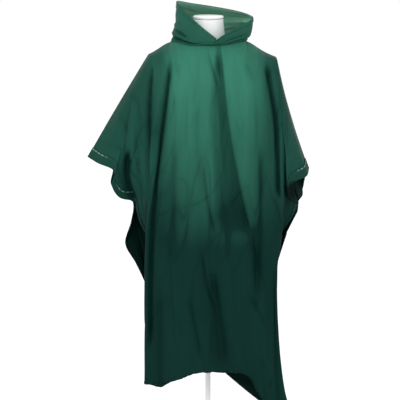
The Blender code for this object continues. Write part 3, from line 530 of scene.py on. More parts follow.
def face_points(sections, side, fall, across):
    """The points of a panel's face at these shares of the fall, for across from -1 to 1."""
    left, right = column(sections, "left", fall), column(sections, "right", fall)
    x = (left + right) / 2 + across * (right - left) / 2
    yoke = np.clip(fall / YOKE, 0.0, 1.0)
    neckline = np.sqrt(np.clip(1 - (x / NECK_HALF_WIDTH) ** 2, 0.0, 1.0))
    rounded = (1 - np.abs(across) ** FACE_SQUARENESS) * yoke + neckline * (1 - yoke)
    corner_y, middle_y = column(sections, "corner_y", fall), column(sections, "middle_y", fall)
    y = corner_y + (middle_y - corner_y) * rounded + side * GAP / 2
    corner_z = np.where(across < 0, column(sections, "left_z", fall), column(sections, "right_z", fall))
    middle_z = column(sections, "middle_z", fall)
    z = corner_z + (middle_z - corner_z) * (1 - across**2)
    beside_neck = np.exp(-(((np.abs(x) - NECK_HALF_WIDTH) / NECK_RISE_WIDTH) ** 2))
    z = z + (NECK_RISE * beside_neck - NECK_DIP[side] * neckline) * (1 - yoke)
    if side < 0:
        hem_z = np.interp(x, [p.x for p in FRONT_HEM_LINE], [p.z for p in FRONT_HEM_LINE])
        z = z + (hem_z - z) * ramp(fall, HEM_LINE_FROM, 1.0) ** HEM_LINE_POWER
    return np.stack([x, y, z], axis=-1)


def wing_points(sections, edge, side, hand, fall, out):
    """The points of a panel's wing, for out from 0 at the corner line to 1 at the side edge."""
    corner = face_points(sections, side, fall, np.full_like(fall, hand))
    tip = np.stack([column(edge, axis, fall) for axis in "xyz"], axis=-1)
    tip[..., 1] += side * GAP / 2
    bow = np.stack([column(edge, name, fall) for name in ("bow_x", "bow_y", "bow_z")], axis=-1)
    middle = (corner + tip) / 2 + bow
    out = out[..., None]
    return (1 - out) ** 2 * corner + 2 * out * (1 - out) * middle + out**2 * tip


def outward_normals(points, outward):
    """Unit normals of a grid of points, on the side that `outward` (a sign) picks. Each is the mean
    of the normals of the facets round it, whatever their size."""
    here, below = points[:-1, :-1], points[1:, :-1]
    across, corner = points[:-1, 1:], points[1:, 1:]
    total = np.zeros_like(points)
    for first, second, places in (
        (below - here, corner - here, ((0, 0), (1, 0), (1, 1))),
        (corner - here, across - here, ((0, 0), (1, 1), (0, 1))),
    ):
        facet = outward * np.cross(first, second)
        facet /= np.linalg.norm(facet, axis=-1, keepdims=True)
        for row, start in places:
            total[row : row + facet.shape[0], start : start + facet.shape[1]] += facet
    return total / np.linalg.norm(total, axis=-1, keepdims=True)


def crease_push(creases, points):
    """How far the creases push each point inwards, by where it is across and up."""
    x, z = points[..., 0], points[..., 2]
    push = np.zeros_like(x)
    for crease in creases:
        share = np.clip((crease.top - z) / (crease.top - crease.foot), 0.0, 1.0)
        path = smooth_between([0.0, 0.5, 1.0], [crease.x_top, crease.x_middle, crease.x_foot], share)
        left = crease.left_top + (crease.left_foot - crease.left_top) * share
        right = crease.right_top + (crease.right_foot - crease.right_top) * share
        off = np.abs(x - path) / np.where(x < path, left, right)
        push += crease.depth * dying_ends(share, crease.fade) * np.exp(-(off**crease.keen))
    return push


def wing_push(folds, fall, across):
    """How far the wings' own folds push each point inwards."""
    push = np.zeros_like(fall)
    for fold in folds:
        share = np.clip((fall - fold.start) / (fold.end - fold.start), 0.0, 1.0)
        middle = fold.hand * (fold.out_start + (fold.out_end - fold.out_start) * share)
        strength = ramp(share, 0.0, WING_FADE)
        push += fold.depth * strength * np.exp(-(((across - middle) / fold.half) ** 2))
    return push


def noise_layer(places, layer, offset):
    """One layer of smooth noise at each place: from -1 to 1, or from 0 to 1 where it is thinned to
    lines."""
    flat = places.reshape(-1, 2) * (layer.across, layer.down)
    offset += layer.offset
    found = np.array([noise.noise(Vector((u + offset, v - offset, offset))) for u, v in flat])
    found = found.reshape(places.shape[:-1])
    return (1 - np.abs(found)) ** layer.thinness if layer.thinness else found


def crumple(places, offset):
    """The sheet's unevenness, as how far it is pushed in and how strong its thin crinkles are."""
    soft, fine, falls, slants, thin, broken = (
        noise_layer(places, layer, offset) for layer in (SOFT, FINE, FALLS, SLANTS, THIN, BROKEN)
    )
    broken = ramp(broken, *BROKEN_RANGE)
    crinkles = np.maximum(falls, slants * SLANT_SHARE) * broken + THIN_SHARE * thin * (1 - broken)
    return SOFT_DEPTH * soft + FINE_DEPTH * fine + CRINKLE_DEPTH * crinkles, crinkles


def rows_of(count):
    """Each row's share of the fall, crowded a little towards the shoulder, with the hem's rows last."""
    sizes = bpy.context.scene.poncho_sizes
    body = 1 - sizes.hem_width / PANEL_FALL
    upper = np.linspace(0, 1, count) ** ROW_CROWDING * body
    return np.append(upper, np.linspace(body, 1, HEM_STEPS + 1)[1:])


def panel_grid(side, sections, edges, creases, wing_folds, rows, face, wing):
    """A panel's points, outward normals, flat places on the sheet and painted light and shade, as rows
    from the shoulder."""
    fall_of_row = rows_of(rows)
    out = np.append(
        np.linspace(1.0, 1 - WING_HEM_SHARE, HEM_STEPS + 1)[:-1],
        np.linspace(1 - WING_HEM_SHARE, 0, wing),
    )
    fall, across = np.meshgrid(fall_of_row, np.linspace(-1, 1, face + 1), indexing="ij")
    wing_fall, wing_out = np.meshgrid(fall_of_row, out, indexing="ij")
    left = wing_points(sections, edges[0], side, -1, wing_fall, wing_out)[:, :-1]
    right = wing_points(sections, edges[1], side, 1, wing_fall, wing_out)[:, -2::-1]
    points = np.concatenate([left, face_points(sections, side, fall, across), right], axis=1)
    across = np.concatenate([-1 - wing_out[:, :-1], across, 1 + wing_out[:, -2::-1]], axis=1)
    fall = np.broadcast_to(fall_of_row[:, None], across.shape)
    flat = np.stack([across * SHEET_HALF_WIDTH / 2, (1 - fall) * PANEL_FALL], axis=-1)
    normals = outward_normals(points, -side)
    facing = ramp(side * normals[..., 1], *FACING)
    free = ramp(fall, *FREE)
    hanging = LYING_SHARE + (1 - LYING_SHARE) * ramp(fall, *HANGING)
    depth = bpy.context.scene.poncho_sizes.fold_depth
    push = crease_push(creases, points) * facing
    uneven, crinkles = crumple(flat, PANEL_OFFSET + side)
    # Painted shade along the thin crinkles
    through = painted_light_and_shade(points, push, across) - CRINKLE_SHADE * crinkles * free
    push = push + wing_push(wing_folds, fall, across) + uneven * hanging
    points = points - normals * (push * free * depth)[..., None]
    return points, outward_normals(points, -side), flat, through


def painted_light_and_shade(points, push, across):
    """The sheet's painted light and shade, from 0 where dark layers lie behind it to 1 on the white
    form: painted light where the form shows through, lighter towards the top. Deep folds and the front
    under the right snap get painted shade, and below 0 the sheet is in deeper painted shade."""
    x, z = points[..., 0], points[..., 2]
    up = np.interp(z, [step.place for step in LIGHT_UP], [step.share for step in LIGHT_UP])
    over = np.interp(x, [step.place for step in LIGHT_OVER], [step.share for step in LIGHT_OVER])
    body = up * over * (1 - ramp(np.abs(across), *BODY_EDGE))
    sleeve = SLEEVE_LIGHT * ramp(z, *SLEEVE_UP)
    light = body + sleeve * (1 - body)
    # Painted shade: darker in deep folds, and on the front under the right snap
    deep = ramp(push, SHADE_FROM, SHADE_FULL)
    (middle_x, middle_z), (half_x, half_z), dark = SLEEVE_SHADE
    away = np.hypot((x - middle_x) / half_x, (z - middle_z) / half_z)
    behind = dark * (1 - ramp(away, *SLEEVE_SHADE_FADE)) * (points[..., 1] < 0)
    shade = FOLD_DARK * deep * (1 - light) + behind
    return np.clip(light * (1 - FOLD_SHADE * deep) - shade, -1.0, 1.0)


def cloth_mesh(name, points, flat, through, turned_over=False):
    """A grid mesh laid out on these rows of points, with its places on the flat sheet as its UV map and
    its painted light and shade as an attribute."""
    rows, columns = points.shape[:2]
    made = bmesh.new()
    uv = made.loops.layers.uv.new("sheet")
    light = made.verts.layers.float.new("through")
    bmesh.ops.create_grid(made, x_segments=columns - 1, y_segments=rows - 1, size=1.0)
    places = points[::-1].reshape(-1, 3)
    sheet_places = flat[::-1].reshape(-1, 2)
    lights = through[::-1].reshape(-1)
    if len(made.verts) != len(places):
        raise RuntimeError(f"{name}: the grid has {len(made.verts)} points, not {len(places)}")
    made.verts.ensure_lookup_table()
    for vert, place, value in zip(made.verts, places, lights):
        vert.co = place
        vert[light] = value
    for face in made.faces:
        face.smooth = True
        for loop in face.loops:
            loop[uv].uv = sheet_places[loop.vert.index]
    if turned_over:
        bmesh.ops.reverse_faces(made, faces=made.faces)
    return finish_mesh(name, made)


def finish_mesh(name, made):
    """The finished bmesh as an object in the scene."""
    mesh = bpy.data.meshes.new(name)
    made.to_mesh(mesh)
    made.free()
    obj = bpy.data.objects.new(name, mesh)
    bpy.context.scene.collection.objects.link(obj)
    return obj


def wall(obj, outside, inside):
    """Gives the sheet its thickness, outwards, with its own finish on each side."""
    obj.data.materials.append(outside)
    obj.data.materials.append(inside)
    made = obj.modifiers.new("Thickness", "SOLIDIFY")
    made.thickness = bpy.context.scene.poncho_sizes.sheet
    made.offset = 1.0
    made.use_rim = True
    made.material_offset = 1
    made.material_offset_rim = 0
    return obj


def hem_strip(name, points, normals, through, lengthwise, turned_over):
    """A hem turned to the outside and welded: the panel's own points, moved out past its sheet. Its
    UV map runs along the hem, and across it from 0 at the weld. Lengthwise is 1 where the hem runs
    along a row and 0 where it runs down the columns."""
    near = points + normals * (SHEET + HEM_GAP)
    line = near[0] if lengthwise == 1 else near[:, 0]
    along = np.cumsum(np.append([0.0], np.linalg.norm(np.diff(line, axis=0), axis=-1)))
    if lengthwise == 1:
        along, over = np.meshgrid(along, np.linspace(0, 1, points.shape[0]))
    else:
        over, along = np.meshgrid(np.linspace(0, 1, points.shape[1]), along)
    flat = np.stack([along, over * bpy.context.scene.poncho_sizes.hem_width], axis=-1)
    return cloth_mesh(name, near, flat, through, turned_over)


def new_material(name):
    """A new material, with its node tree and its shader."""
    made = bpy.data.materials.new(name)
    made.use_nodes = True
    tree = made.node_tree
    return made, tree, tree.nodes["Principled BSDF"]


def noise_node(tree, vector, scale, stretch=(1, 1, 1), detail=3.0):
    """A noise texture on the vector, stretched by a Mapping node."""
    mapping = tree.nodes.new("ShaderNodeMapping")
    mapping.inputs["Scale"].default_value = stretch
    tree.links.new(vector, mapping.inputs["Vector"])
    made = tree.nodes.new("ShaderNodeTexNoise")
    made.inputs["Scale"].default_value = scale
    made.inputs["Detail"].default_value = detail
    tree.links.new(mapping.outputs["Vector"], made.inputs["Vector"])
    return made.outputs["Fac"]


def mapped(tree, value, from_low, from_high, to_low, to_high):
    """The value moved from one range to another, and kept inside it."""
    made = tree.nodes.new("ShaderNodeMapRange")
    for socket, number in zip(made.inputs[1:5], (from_low, from_high, to_low, to_high)):
        socket.default_value = number
    tree.links.new(value, made.inputs["Value"])
    return made.outputs["Result"]


def calculated(tree, operation, first, second):
    """The result of one operation on two values, each a socket or a number."""
    made = tree.nodes.new("ShaderNodeMath")
    made.operation = operation
    for socket, value in zip(made.inputs, (first, second)):
        if isinstance(value, (int, float)):
            socket.default_value = value
        else:
            tree.links.new(value, socket)
    return made.outputs["Value"]


def mixed(tree, share, first, second, blend="MIX"):
    """Two colours, each a socket or a plain colour, mixed by a share that is a socket or a number."""
    made = tree.nodes.new("ShaderNodeMix")
    made.data_type = "RGBA"
    made.blend_type = blend
    for socket, value in ((made.inputs[0], share), (made.inputs[6], first), (made.inputs[7], second)):
        if isinstance(value, (int, float)):
            socket.default_value = value
        elif isinstance(value, bpy.types.NodeSocket):
            tree.links.new(value, socket)
        else:
            socket.default_value = (*value, 1.0)
    return made.outputs[2]


def bumped(tree, height, distance, strength, under=None):
    """A normal bumped by this height, on top of the normal under it."""
    made = tree.nodes.new("ShaderNodeBump")
    made.inputs["Distance"].default_value = distance
    made.inputs["Strength"].default_value = strength
    tree.links.new(height, made.inputs["Height"])
    if under is not None:
        tree.links.new(under, made.inputs["Normal"])
    return made.outputs["Normal"]


def vinyl_material(
    name, deep, light, roughness=0.46, weld=False, streaks=0.06, streak_along=(1.0, 0.16, 1.0)
):
    """Soft green sheet vinyl with painted light and shade from its attribute: lighter where light comes
    through, darker in painted shade. It has a faint mottle, fine embossed grain, long puckers and, on a
    hem, a row of weld dashes with painted glints."""
    made, tree, shader = new_material(name)
    uv = tree.nodes.new("ShaderNodeUVMap")
    uv.uv_map = "sheet"
    place = uv.outputs["UV"]
    through = tree.nodes.new("ShaderNodeAttribute")
    through.attribute_name = "through"
    # Painted light and shade: the attribute mixes the deep and light greens
    colour = mixed(tree, through.outputs["Fac"], deep, light)
    cloudy = noise_node(tree, place, 5.0, (1.0, 0.45, 1.0), 4.0)
    mottle = mapped(tree, cloudy, *NOISE_RANGE, 0.86, 1.12)
    streaky = noise_node(tree, place, 26.0, streak_along, 3.0)
    streak = mapped(tree, streaky, *NOISE_RANGE, 1 - streaks, 1 + streaks)
    shade = tree.nodes.new("ShaderNodeCombineColor")
    both = calculated(tree, "MULTIPLY", mottle, streak)
    # Painted shade where the attribute is below 0
    shaded = mapped(tree, through.outputs["Fac"], -1.0, 0.0, DEEPEST_SHADE, 1.0)
    both = calculated(tree, "MULTIPLY", both, shaded)
    for socket in shade.inputs:
        tree.links.new(both, socket)
    colour = mixed(tree, 1.0, colour, shade.outputs["Color"], "MULTIPLY")
    normal = None
    for relief in VINYL_RELIEF:
        height = noise_node(tree, place, relief.scale, relief.stretch, relief.detail)
        normal = bumped(tree, height, relief.distance, relief.strength, normal)
    if weld:
        split = tree.nodes.new("ShaderNodeSeparateXYZ")
        tree.links.new(place, split.inputs["Vector"])
        dash = calculated(tree, "PINGPONG", split.outputs["X"], WELD_PITCH / 2)
        dash = mapped(tree, dash, *WELD_GAP, 0.0, 1.0)
        off_line = calculated(tree, "SUBTRACT", split.outputs["Y"], WELD_IN)
        line = mapped(tree, calculated(tree, "ABSOLUTE", off_line, 0.0), *WELD_HALF, 1.0, 0.0)
        pressed = calculated(tree, "MULTIPLY", dash, line)
        # A painted glint on some dashes and near the start of a hem
        glint = mapped(tree, noise_node(tree, place, 6.0), *WELD_GLINT)
        at_start = mapped(tree, split.outputs["X"], *WELD_START, WELD_START_SHARE, 0.0)
        glint = calculated(tree, "MAXIMUM", glint, at_start)
        colour = mixed(tree, calculated(tree, "MULTIPLY", pressed, glint), colour, WELD_LIGHT)
        normal = bumped(tree, pressed, -WELD_DEPTH, 1.0, normal)
    tree.links.new(colour, shader.inputs["Base Color"])
    tree.links.new(normal, shader.inputs["Normal"])
    patchy = noise_node(tree, place, 12.0, (1.0, 0.4, 1.0), 4.0)
    rough = mapped(tree, patchy, *NOISE_RANGE, roughness - 0.06, roughness + 0.08)
    tree.links.new(rough, shader.inputs["Roughness"])
    shader.inputs["Specular IOR Level"].default_value = VINYL_SPECULAR
    return made


def scaled(colour, share):
    """The colour made darker or lighter by this share."""
    return tuple(share * part for part in colour)


def shell_material(name, colour, roughness, coat, speckle, metallic=0.0):
    """A hard finish with a faint unevenness in its colour, gloss and surface."""
    made, tree, shader = new_material(name)
    coordinates = tree.nodes.new("ShaderNodeTexCoord")
    place = coordinates.outputs["Object"]
    cloudy = noise_node(tree, place, 9.0, (1, 1, 1), 4.0)
    fine = noise_node(tree, place, 420.0, (1, 1, 1), 2.0)
    tone = mapped(tree, cloudy, *NOISE_RANGE, 0.0, 1.0)
    worn = scaled(colour, 0.93)
    tree.links.new(mixed(tree, tone, colour, worn), shader.inputs["Base Color"])
    rough = mapped(tree, cloudy, *NOISE_RANGE, roughness - 0.04, roughness + 0.05)
    tree.links.new(rough, shader.inputs["Roughness"])
    tree.links.new(bumped(tree, fine, speckle, 0.3), shader.inputs["Normal"])
    shader.inputs["Metallic"].default_value = metallic
    shader.inputs["Coat Weight"].default_value = coat
    shader.inputs["Coat Roughness"].default_value = 0.12
    return made


def vinyl_finishes():
    """The poncho's finishes, made once: its outside and its inside, a darker copy in painted shade, its
    hems, and the hood's outside and its inside in painted light."""
    colours = bpy.context.scene.poncho_colours
    deep, light = tuple(colours.vinyl_deep), tuple(colours.vinyl_light)
    wanted = {
        "green vinyl": dict(deep=deep, light=light),
        # The inside is the outside made darker: painted shade under the sheet
        "green vinyl inside": dict(
            deep=scaled(deep, 0.55), light=scaled(light, 0.22), roughness=0.6
        ),
        "green vinyl hem": dict(
            deep=scaled(deep, 0.95), light=scaled(light, 0.92), roughness=0.44, weld=True
        ),
        "green vinyl hood": dict(deep=scaled(deep, 1.05), light=light),
        "green vinyl hood inside": dict(
            deep=HOOD_INSIDE, light=HOOD_INSIDE, roughness=0.5, streaks=HOOD_STREAKS,
            streak_along=HOOD_STREAK_ALONG,
        ),
    }
    for name, look in wanted.items():
        if name not in bpy.data.materials:
            vinyl_material(name, **look)
    return bpy.data.materials


def sheet_panel(name, side, sections, edges, creases, wing_folds):
    """One panel of the poncho with its three hems."""
    sizes = bpy.context.scene.poncho_sizes
    rows, face, wing = sizes.panel_rows, sizes.face_columns, sizes.wing_columns
    points, normals, flat, through = panel_grid(
        side, sections, edges, creases, wing_folds, rows, face, wing
    )
    finishes = vinyl_finishes()
    cloth = wall(
        cloth_mesh(f"{name}_sheet", points, flat, through, side > 0),
        finishes["green vinyl"], finishes["green vinyl inside"],
    )
    parts = {
        "left": (slice(0, -HEM_STEPS), slice(HEM_STEPS, None, -1), 0),
        "right": (slice(0, -HEM_STEPS), slice(-HEM_STEPS - 1, None), 0),
        "bottom": (slice(-HEM_STEPS - 1, None), slice(None), 1),
    }
    hems = []
    for hand, (which_rows, which_columns, lengthwise) in parts.items():
        picked = [grid[which_rows, which_columns] for grid in (points, normals, through)]
        over = (side > 0) != (hand == "left")
        hem = hem_strip(f"{name}_{hand}_hem_strip", *picked, lengthwise, over)
        wall(hem, finishes["green vinyl hem"], finishes["green vinyl inside"])
        claim(hem, "vinyl_hem", f"{name}_{hand}_hem")
        hems.append(hem)
    row = int(np.argmin(np.abs(rows_of(rows) - SNAP_FALL)))
    for hand, middle in (("left", HEM_STEPS // 2), ("right", -1 - HEM_STEPS // 2)):
        axis = normals[row, middle]
        seat = points[row, middle] + axis * (2 * SHEET + HEM_GAP + GAP)
        claim(snap_cap(f"snap_{hand}_{name}_cap", seat, axis), "snap", f"snap_{hand}_{name}")
    claim(cloth, "vinyl", f"{name}_panel")
    return cloth, hems


def snap_cap(name, seat, axis):
    """A round snap cap with a dished top, seated on the hem and standing along the axis."""
    made = turned_mesh(
        [(radius * SNAP_RADIUS, high * SNAP_THICKNESS) for radius, high in SNAP_PROFILE], SNAP_SIDES
    )
    turn = Vector(axis).to_track_quat("Z", "Y").to_matrix()
    bmesh.ops.rotate(made, verts=made.verts, cent=(0, 0, 0), matrix=turn)
    bmesh.ops.translate(made, verts=made.verts, vec=Vector(seat))
    cap = finish_mesh(name, made)
    if "snap paint" not in bpy.data.materials:
        shell_material(
            "snap paint", SNAP_COLOUR, roughness=0.30, coat=0.3, speckle=0.0001, metallic=0.6
        )
    cap.data.materials.append(bpy.data.materials["snap paint"])
    return cap


def claim(piece, slot, *nodes):
    """Attaches a piece to the root and hides the solids it stands for. The slot is not used."""
    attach(piece, "root")
    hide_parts(*nodes)


def neckline_points(angle):
    """The edge of the neck hole, by the angle from its front."""
    x = -NECK_HALF_WIDTH * np.sin(angle)
    sections = FRONT_FACE_SECTIONS[0]
    across = (2 * x - sections.left - sections.right) / (sections.right - sections.left)
    front = face_points(FRONT_FACE_SECTIONS, -1, 0 * angle, across)
    back = face_points(BACK_FACE_SECTIONS, 1, 0 * angle, across)
    return np.where(np.cos(angle)[:, None] > 0, front, back)


def hood_grid(hand):
    """Half the hood, from its seam up to its rim, with its folds and pleats."""
    start, end = (0.0, 180.0) if hand < 0 else (180.0, 360.0)
    round_steps, ring_steps = HOOD_STEPS
    turn = np.linspace(start, end, round_steps + 1)
    turns = [station.turn for station in HOOD_STATIONS]

    def station(name):
        return smooth_between(turns, [getattr(s, name) for s in HOOD_STATIONS], turn)

    angle = np.radians(turn)
    out = np.stack([-np.sin(angle), -np.cos(angle), 0 * angle], axis=-1)
    up = np.array([0.0, 0.0, 1.0])
    seam = neckline_points(angle) + up * HOOD_LIFT
    rim = np.stack([station("rim_x"), station("rim_y"), station("rim_z")], axis=-1)
    low = seam + out * station("low_out")[:, None] - up * station("low_drop")[:, None] * 0.5
    high = rim + out * station("high_out")[:, None] - up * station("high_drop")[:, None]
    rise = np.append(
        np.linspace(0, 1 - HOOD_HEM_SHARE, ring_steps),
        np.linspace(1 - HOOD_HEM_SHARE, 1, HEM_STEPS + 1)[1:],
    )[:, None, None]
    points = (
        (1 - rise) ** 3 * seam + 3 * (1 - rise) ** 2 * rise * low
        + 3 * (1 - rise) * rise**2 * high + rise**3 * rim
    )
    normals = outward_normals(points, 1)
    turn_grid, rise_grid = np.meshgrid(turn, rise[:, 0, 0])
    push = np.zeros_like(turn_grid)
    for fold in HOOD_FOLDS:
        share = np.clip((turn_grid - fold.start) / (fold.end - fold.start), 0.0, 1.0)
        rises = [fold.rise_start, fold.rise_middle, fold.rise_end]
        off = np.abs(rise_grid - smooth_between([0.0, 0.5, 1.0], rises, share)) / fold.half
        push += fold.depth * dying_ends(share, HOOD_FADE) * np.exp(-(off**fold.keen))
    for pleat in HOOD_PLEATS:
        share = np.clip((rise_grid - pleat.rise_start) / (pleat.rise_end - pleat.rise_start), 0.0, 1.0)
        middle = pleat.low + (pleat.high - pleat.low) * share
        off = np.abs(turn_grid - middle) / pleat.half
        push += pleat.depth * dying_ends(share, HOOD_FADE) * np.exp(-(off**PLEAT_KEEN))
    flat = np.stack([turn_grid / 180 * HOOD_FLAT[0], rise_grid * HOOD_FLAT[1]], axis=-1)
    push += crumple(flat * HOOD_UNEVEN_STRETCH, HOOD_OFFSET)[0] * HOOD_UNEVEN
    kept = ramp(rise_grid, *HOOD_FREE) * (1 - ramp(rise_grid, *HOOD_TOP))
    points = points - normals * (push * kept)[..., None]
    return points, outward_normals(points, 1), flat, rise_grid


def turned_mesh(profile, sides=96):
    """A solid turned about Z from its profile of (radius, z), which starts and ends on the axis."""
    made = bmesh.new()
    ring = [made.verts.new((radius, 0.0, z)) for radius, z in profile]
    edges = [made.edges.new(pair) for pair in zip(ring, ring[1:])]
    bmesh.ops.spin(
        made, geom=ring + edges, cent=(0, 0, 0), axis=(0, 0, 1), angle=math.tau,
        steps=sides, use_merge=True,
    )
    bmesh.ops.remove_doubles(made, verts=made.verts, dist=1e-5)
    bmesh.ops.recalc_face_normals(made, faces=made.faces)
    for face in made.faces:
        face.smooth = True
    return made


def soft_edges(obj, width, angle=35):
    """Rounds the hard edges of a turned piece and keeps its flats flat."""
    made = obj.modifiers.new("Edges", "BEVEL")
    made.affect = "EDGES"
    made.width = width
    made.segments = 3
    made.profile = 0.5
    made.limit_method = "ANGLE"
    made.angle_limit = math.radians(angle)
    made.harden_normals = True
    return obj


class PonchoSizes(bpy.types.PropertyGroup):
    """Sizes that can be changed before the poncho is built."""

    sheet: FloatProperty(
        name="Sheet thickness", description="How thick the vinyl is", default=SHEET, min=0.0005,
        max=0.003, unit="LENGTH", subtype="DISTANCE",
    )
    hem_width: FloatProperty(
        name="Hem width", description="How wide the bottom hem is", default=0.032, min=0.01,
        max=0.06, unit="LENGTH", subtype="DISTANCE",
    )
    fold_depth: FloatProperty(
        name="Fold depth", description="Scales every fold and crease of the panels", default=1.0,
        min=0.0, max=1.5, subtype="FACTOR",
    )
    panel_rows: IntProperty(
        name="Panel rows", description="Rows of faces down a panel", default=226, min=40, max=240,
    )
    face_columns: IntProperty(
        name="Face columns", description="Columns of faces across a panel's face", default=130,
        min=30, max=140,
    )
    wing_columns: IntProperty(
        name="Wing columns", description="Columns of faces across a panel's wing", default=30,
        min=10, max=40,
    )


class PonchoColours(bpy.types.PropertyGroup):
    """Colours that can be changed before the poncho is built."""

    # The vinyl's two greens, mixed by painted light and shade: with dark layers behind it, and lit on
    # the white form
    vinyl_deep: FloatVectorProperty(
        name="Deep vinyl", description="The vinyl with dark layers behind it",
        default=(0.0040, 0.0250, 0.0200), min=0.0, max=1.0, subtype="COLOR", size=3,
    )
    vinyl_light: FloatVectorProperty(
        name="Light vinyl", description="The vinyl on the white form",
        default=(0.0335, 0.1700, 0.1130), min=0.0, max=1.0, subtype="COLOR", size=3,
    )
    form_white: FloatVectorProperty(
        name="Form", description="The dress form's shell", default=(0.92, 0.92, 0.92), min=0.0,
        max=1.0, subtype="COLOR", size=3,
    )
    stand_dark: FloatVectorProperty(
        name="Pole", description="The upper pole's paint", default=(0.030, 0.042, 0.038), min=0.0,
        max=1.0, subtype="COLOR", size=3,
    )


class PONCHO_OT_panels(bpy.types.Operator):
    """Builds the front and back panels with their hems"""

    bl_idname = "poncho.panels"
    bl_label = "Panels"

    def execute(self, context):
        for panel in PANELS:
            cloth, hems = sheet_panel(*panel)
        return {"FINISHED"}


class PONCHO_OT_hood(bpy.types.Operator):
    """Builds the two halves of the hood with the hem round the face"""

    bl_idname = "poncho.hood"
    bl_label = "Hood"

    def execute(self, context):
        finishes = vinyl_finishes()
        for name, hand in (("left", -1), ("right", 1)):
            points, normals, flat, rise = hood_grid(hand)
            # The hood's painted light, lighter towards its rim
            through = HOOD_LIGHT + HOOD_RIM_LIGHT * rise
            cloth = wall(
                cloth_mesh(f"hood_{name}_sheet", points, flat, through),
                finishes["green vinyl hood"], finishes["green vinyl hood inside"],
            )
            picked = [grid[-HEM_STEPS - 1 :] for grid in (points, normals, through)]
            hem = hem_strip(f"hood_{name}_hem_strip", *picked, 1, False)
            wall(hem, finishes["green vinyl hem"], finishes["green vinyl inside"])
            claim(cloth, "vinyl", f"hood_{name}")
            claim(hem, "vinyl_hem", f"hood_{name}_hem")
        return {"FINISHED"}


class PONCHO_OT_form(bpy.types.Operator):
    """Builds the dress form's smooth shell and the cap on its neck"""

    bl_idname = "poncho.form"
    bl_label = "Dress form"

    def execute(self, context):
        rings = np.linspace(0, 1, FORM_STEPS)
        heights = smooth_between(
            np.linspace(0, 1, len(FORM_RINGS)), [ring.z for ring in FORM_RINGS], rings
        )
        made = bmesh.new()
        bmesh.ops.create_cone(
            made, cap_ends=True, segments=FORM_SIDES, radius1=1.0, radius2=1.0, depth=1.0,
        )
        side_edges = [e for e in made.edges if abs(e.verts[0].co.z - e.verts[1].co.z) > 0.5]
        bmesh.ops.subdivide_edges(made, edges=side_edges, cuts=len(rings) - 2)
        for vert in made.verts:
            step = (vert.co.z + 0.5) * (len(rings) - 1)
            height = float(np.interp(step, range(len(rings)), heights))
            angle = math.atan2(vert.co.y, vert.co.x)
            ring = {
                name: float(column(FORM_RINGS, name, height))
                for name in ("half_width", "half_depth", "forward", "squareness", "lean")
            }
            c, s = math.cos(angle), math.sin(angle)
            power = 2 / ring["squareness"]
            y = math.copysign(abs(s) ** power, s) * ring["half_depth"] - ring["forward"]
            x = math.copysign(abs(c) ** power, c) * ring["half_width"]
            vert.co = (x, y, height + y * math.tan(math.radians(ring["lean"])))
        for face in made.faces:
            face.smooth = True
        shell = finish_mesh("form_shell", made)
        colour = tuple(context.scene.poncho_colours.form_white)
        white = shell_material("form white", colour, roughness=0.38, coat=0.35, speckle=0.0002)
        shell.data.materials.append(white)
        soft_edges(shell, 0.003, 50)
        claim(shell, "form", "dress_form")
        neck = FORM_RINGS[-1]
        cap = turned_mesh([
            (0.0, 0.0), (CAP_RADIUS - CAP_EDGE / 2, 0.0), (CAP_RADIUS, CAP_EDGE / 2),
            (CAP_RADIUS, CAP_THICKNESS - CAP_EDGE),
            (CAP_RADIUS - CAP_EDGE * 0.3, CAP_THICKNESS - CAP_EDGE * 0.3),
            (CAP_RADIUS - CAP_EDGE, CAP_THICKNESS), (0.0, CAP_THICKNESS + CAP_CROWN),
        ])
        tilt = Matrix.Rotation(math.radians(CAP_TILT), 3, "X")
        bmesh.ops.rotate(cap, verts=cap.verts, cent=(0, 0, 0), matrix=tilt)
        bmesh.ops.translate(cap, verts=cap.verts, vec=(0, -neck.forward, neck.z + GAP * 2))
        cap = finish_mesh("neck_cap_shell", cap)
        cap.data.materials.append(white)
        claim(cap, "form", "neck_cap")
        return {"FINISHED"}


class PONCHO_OT_stand(bpy.types.Operator):
    """Finishes the stand with its own paint"""

    bl_idname = "poncho.stand"
    bl_label = "Stand"

    def execute(self, context):
        colours = context.scene.poncho_colours
        for name, colour, roughness in (
            ("base paint", scaled(tuple(colours.form_white), 0.92), 0.40),
            ("pole paint", tuple(colours.stand_dark), 0.42),
        ):
            shell_material(name, colour, roughness, coat=0.2, speckle=0.0003)
        for name, finish in STAND_FINISHES.items():
            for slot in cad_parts[name].material_slots:
                slot.material = bpy.data.materials[finish]
        return {"FINISHED"}


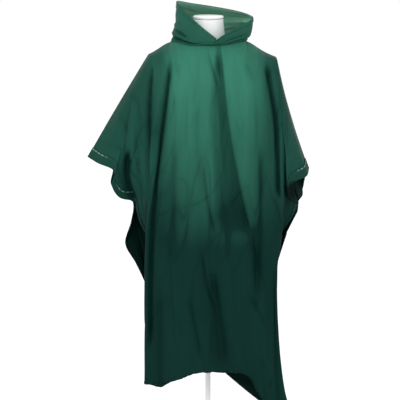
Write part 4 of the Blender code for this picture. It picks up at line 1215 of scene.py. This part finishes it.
class PONCHO_OT_stage(bpy.types.Operator):
    """Sets the pale floor, the soft studio light and the camera"""

    bl_idname = "poncho.stage"
    bl_label = "Stage"

    def execute(self, context):
        made = bmesh.new()
        bmesh.ops.create_grid(made, x_segments=1, y_segments=1, size=40.0)
        bmesh.ops.translate(made, verts=made.verts, vec=(0, 0, -0.0005))
        floor = finish_mesh("floor", made)
        paper, _, shader = new_material("floor paper")
        shader.inputs["Base Color"].default_value = (0.93, 0.93, 0.93, 1)
        shader.inputs["Roughness"].default_value = 0.9
        shader.inputs["Specular IOR Level"].default_value = 0.0
        shader.inputs["Emission Color"].default_value = (1, 1, 1, 1)
        shader.inputs["Emission Strength"].default_value = 0.18
        floor.data.materials.append(paper)
        world = bpy.data.worlds.new("studio")
        world.use_nodes = True
        sky = world.node_tree.nodes["Background"]
        sky.inputs["Color"].default_value = (1, 1, 1, 1)
        sky.inputs["Strength"].default_value = 1.0
        context.scene.world = world
        for lamp in LAMPS:
            light = bpy.data.lights.new(lamp.name, "AREA")
            light.size = lamp.size
            light.energy = lamp.power
            obj = bpy.data.objects.new(lamp.name, light)
            obj.location = lamp.place
            towards = Vector(lamp.aim) - Vector(lamp.place)
            obj.rotation_euler = towards.to_track_quat("-Z", "Y").to_euler()
            context.scene.collection.objects.link(obj)
        data = bpy.data.cameras.new("camera")
        data.sensor_width = 36.0
        data.lens = CAMERA_LENS
        camera = bpy.data.objects.new("camera", data)
        elevation = math.radians(CAMERA_RISE)
        back = Vector((0.0, -math.cos(elevation), math.sin(elevation)))
        camera.location = Vector(CAMERA_AIM) + back * CAMERA_AWAY
        camera.rotation_euler = (-back).to_track_quat("-Z", "Y").to_euler()
        context.scene.collection.objects.link(camera)
        context.scene.camera = camera
        context.scene.view_settings.view_transform = "Standard"
        return {"FINISHED"}


class PONCHO_PT_panel(bpy.types.Panel):
    """Lists the poncho's steps in the sidebar"""

    bl_idname = "PONCHO_PT_panel"
    bl_label = "Rain poncho"
    bl_space_type = "VIEW_3D"
    bl_region_type = "UI"
    bl_category = "Poncho"

    def draw(self, context):
        layout = self.layout
        for group in (context.scene.poncho_sizes, context.scene.poncho_colours):
            for name in group.__annotations__:
                layout.prop(group, name)
        for step in STEPS:
            layout.operator(step.bl_idname)


STEPS = (PONCHO_OT_panels, PONCHO_OT_hood, PONCHO_OT_form, PONCHO_OT_stand, PONCHO_OT_stage)
CLASSES = (PonchoSizes, PonchoColours, *STEPS, PONCHO_PT_panel)


def register():
    for made in CLASSES:
        bpy.utils.register_class(made)
    bpy.types.Scene.poncho_sizes = PointerProperty(type=PonchoSizes)
    bpy.types.Scene.poncho_colours = PointerProperty(type=PonchoColours)


def unregister():
    del bpy.types.Scene.poncho_colours
    del bpy.types.Scene.poncho_sizes
    for made in reversed(CLASSES):
        bpy.utils.unregister_class(made)


def main():
    register()
    bpy.ops.poncho.panels()
    bpy.ops.poncho.hood()
    bpy.ops.poncho.form()
    bpy.ops.poncho.stand()
    bpy.ops.poncho.stage()


if __name__ == "__main__":
    main()
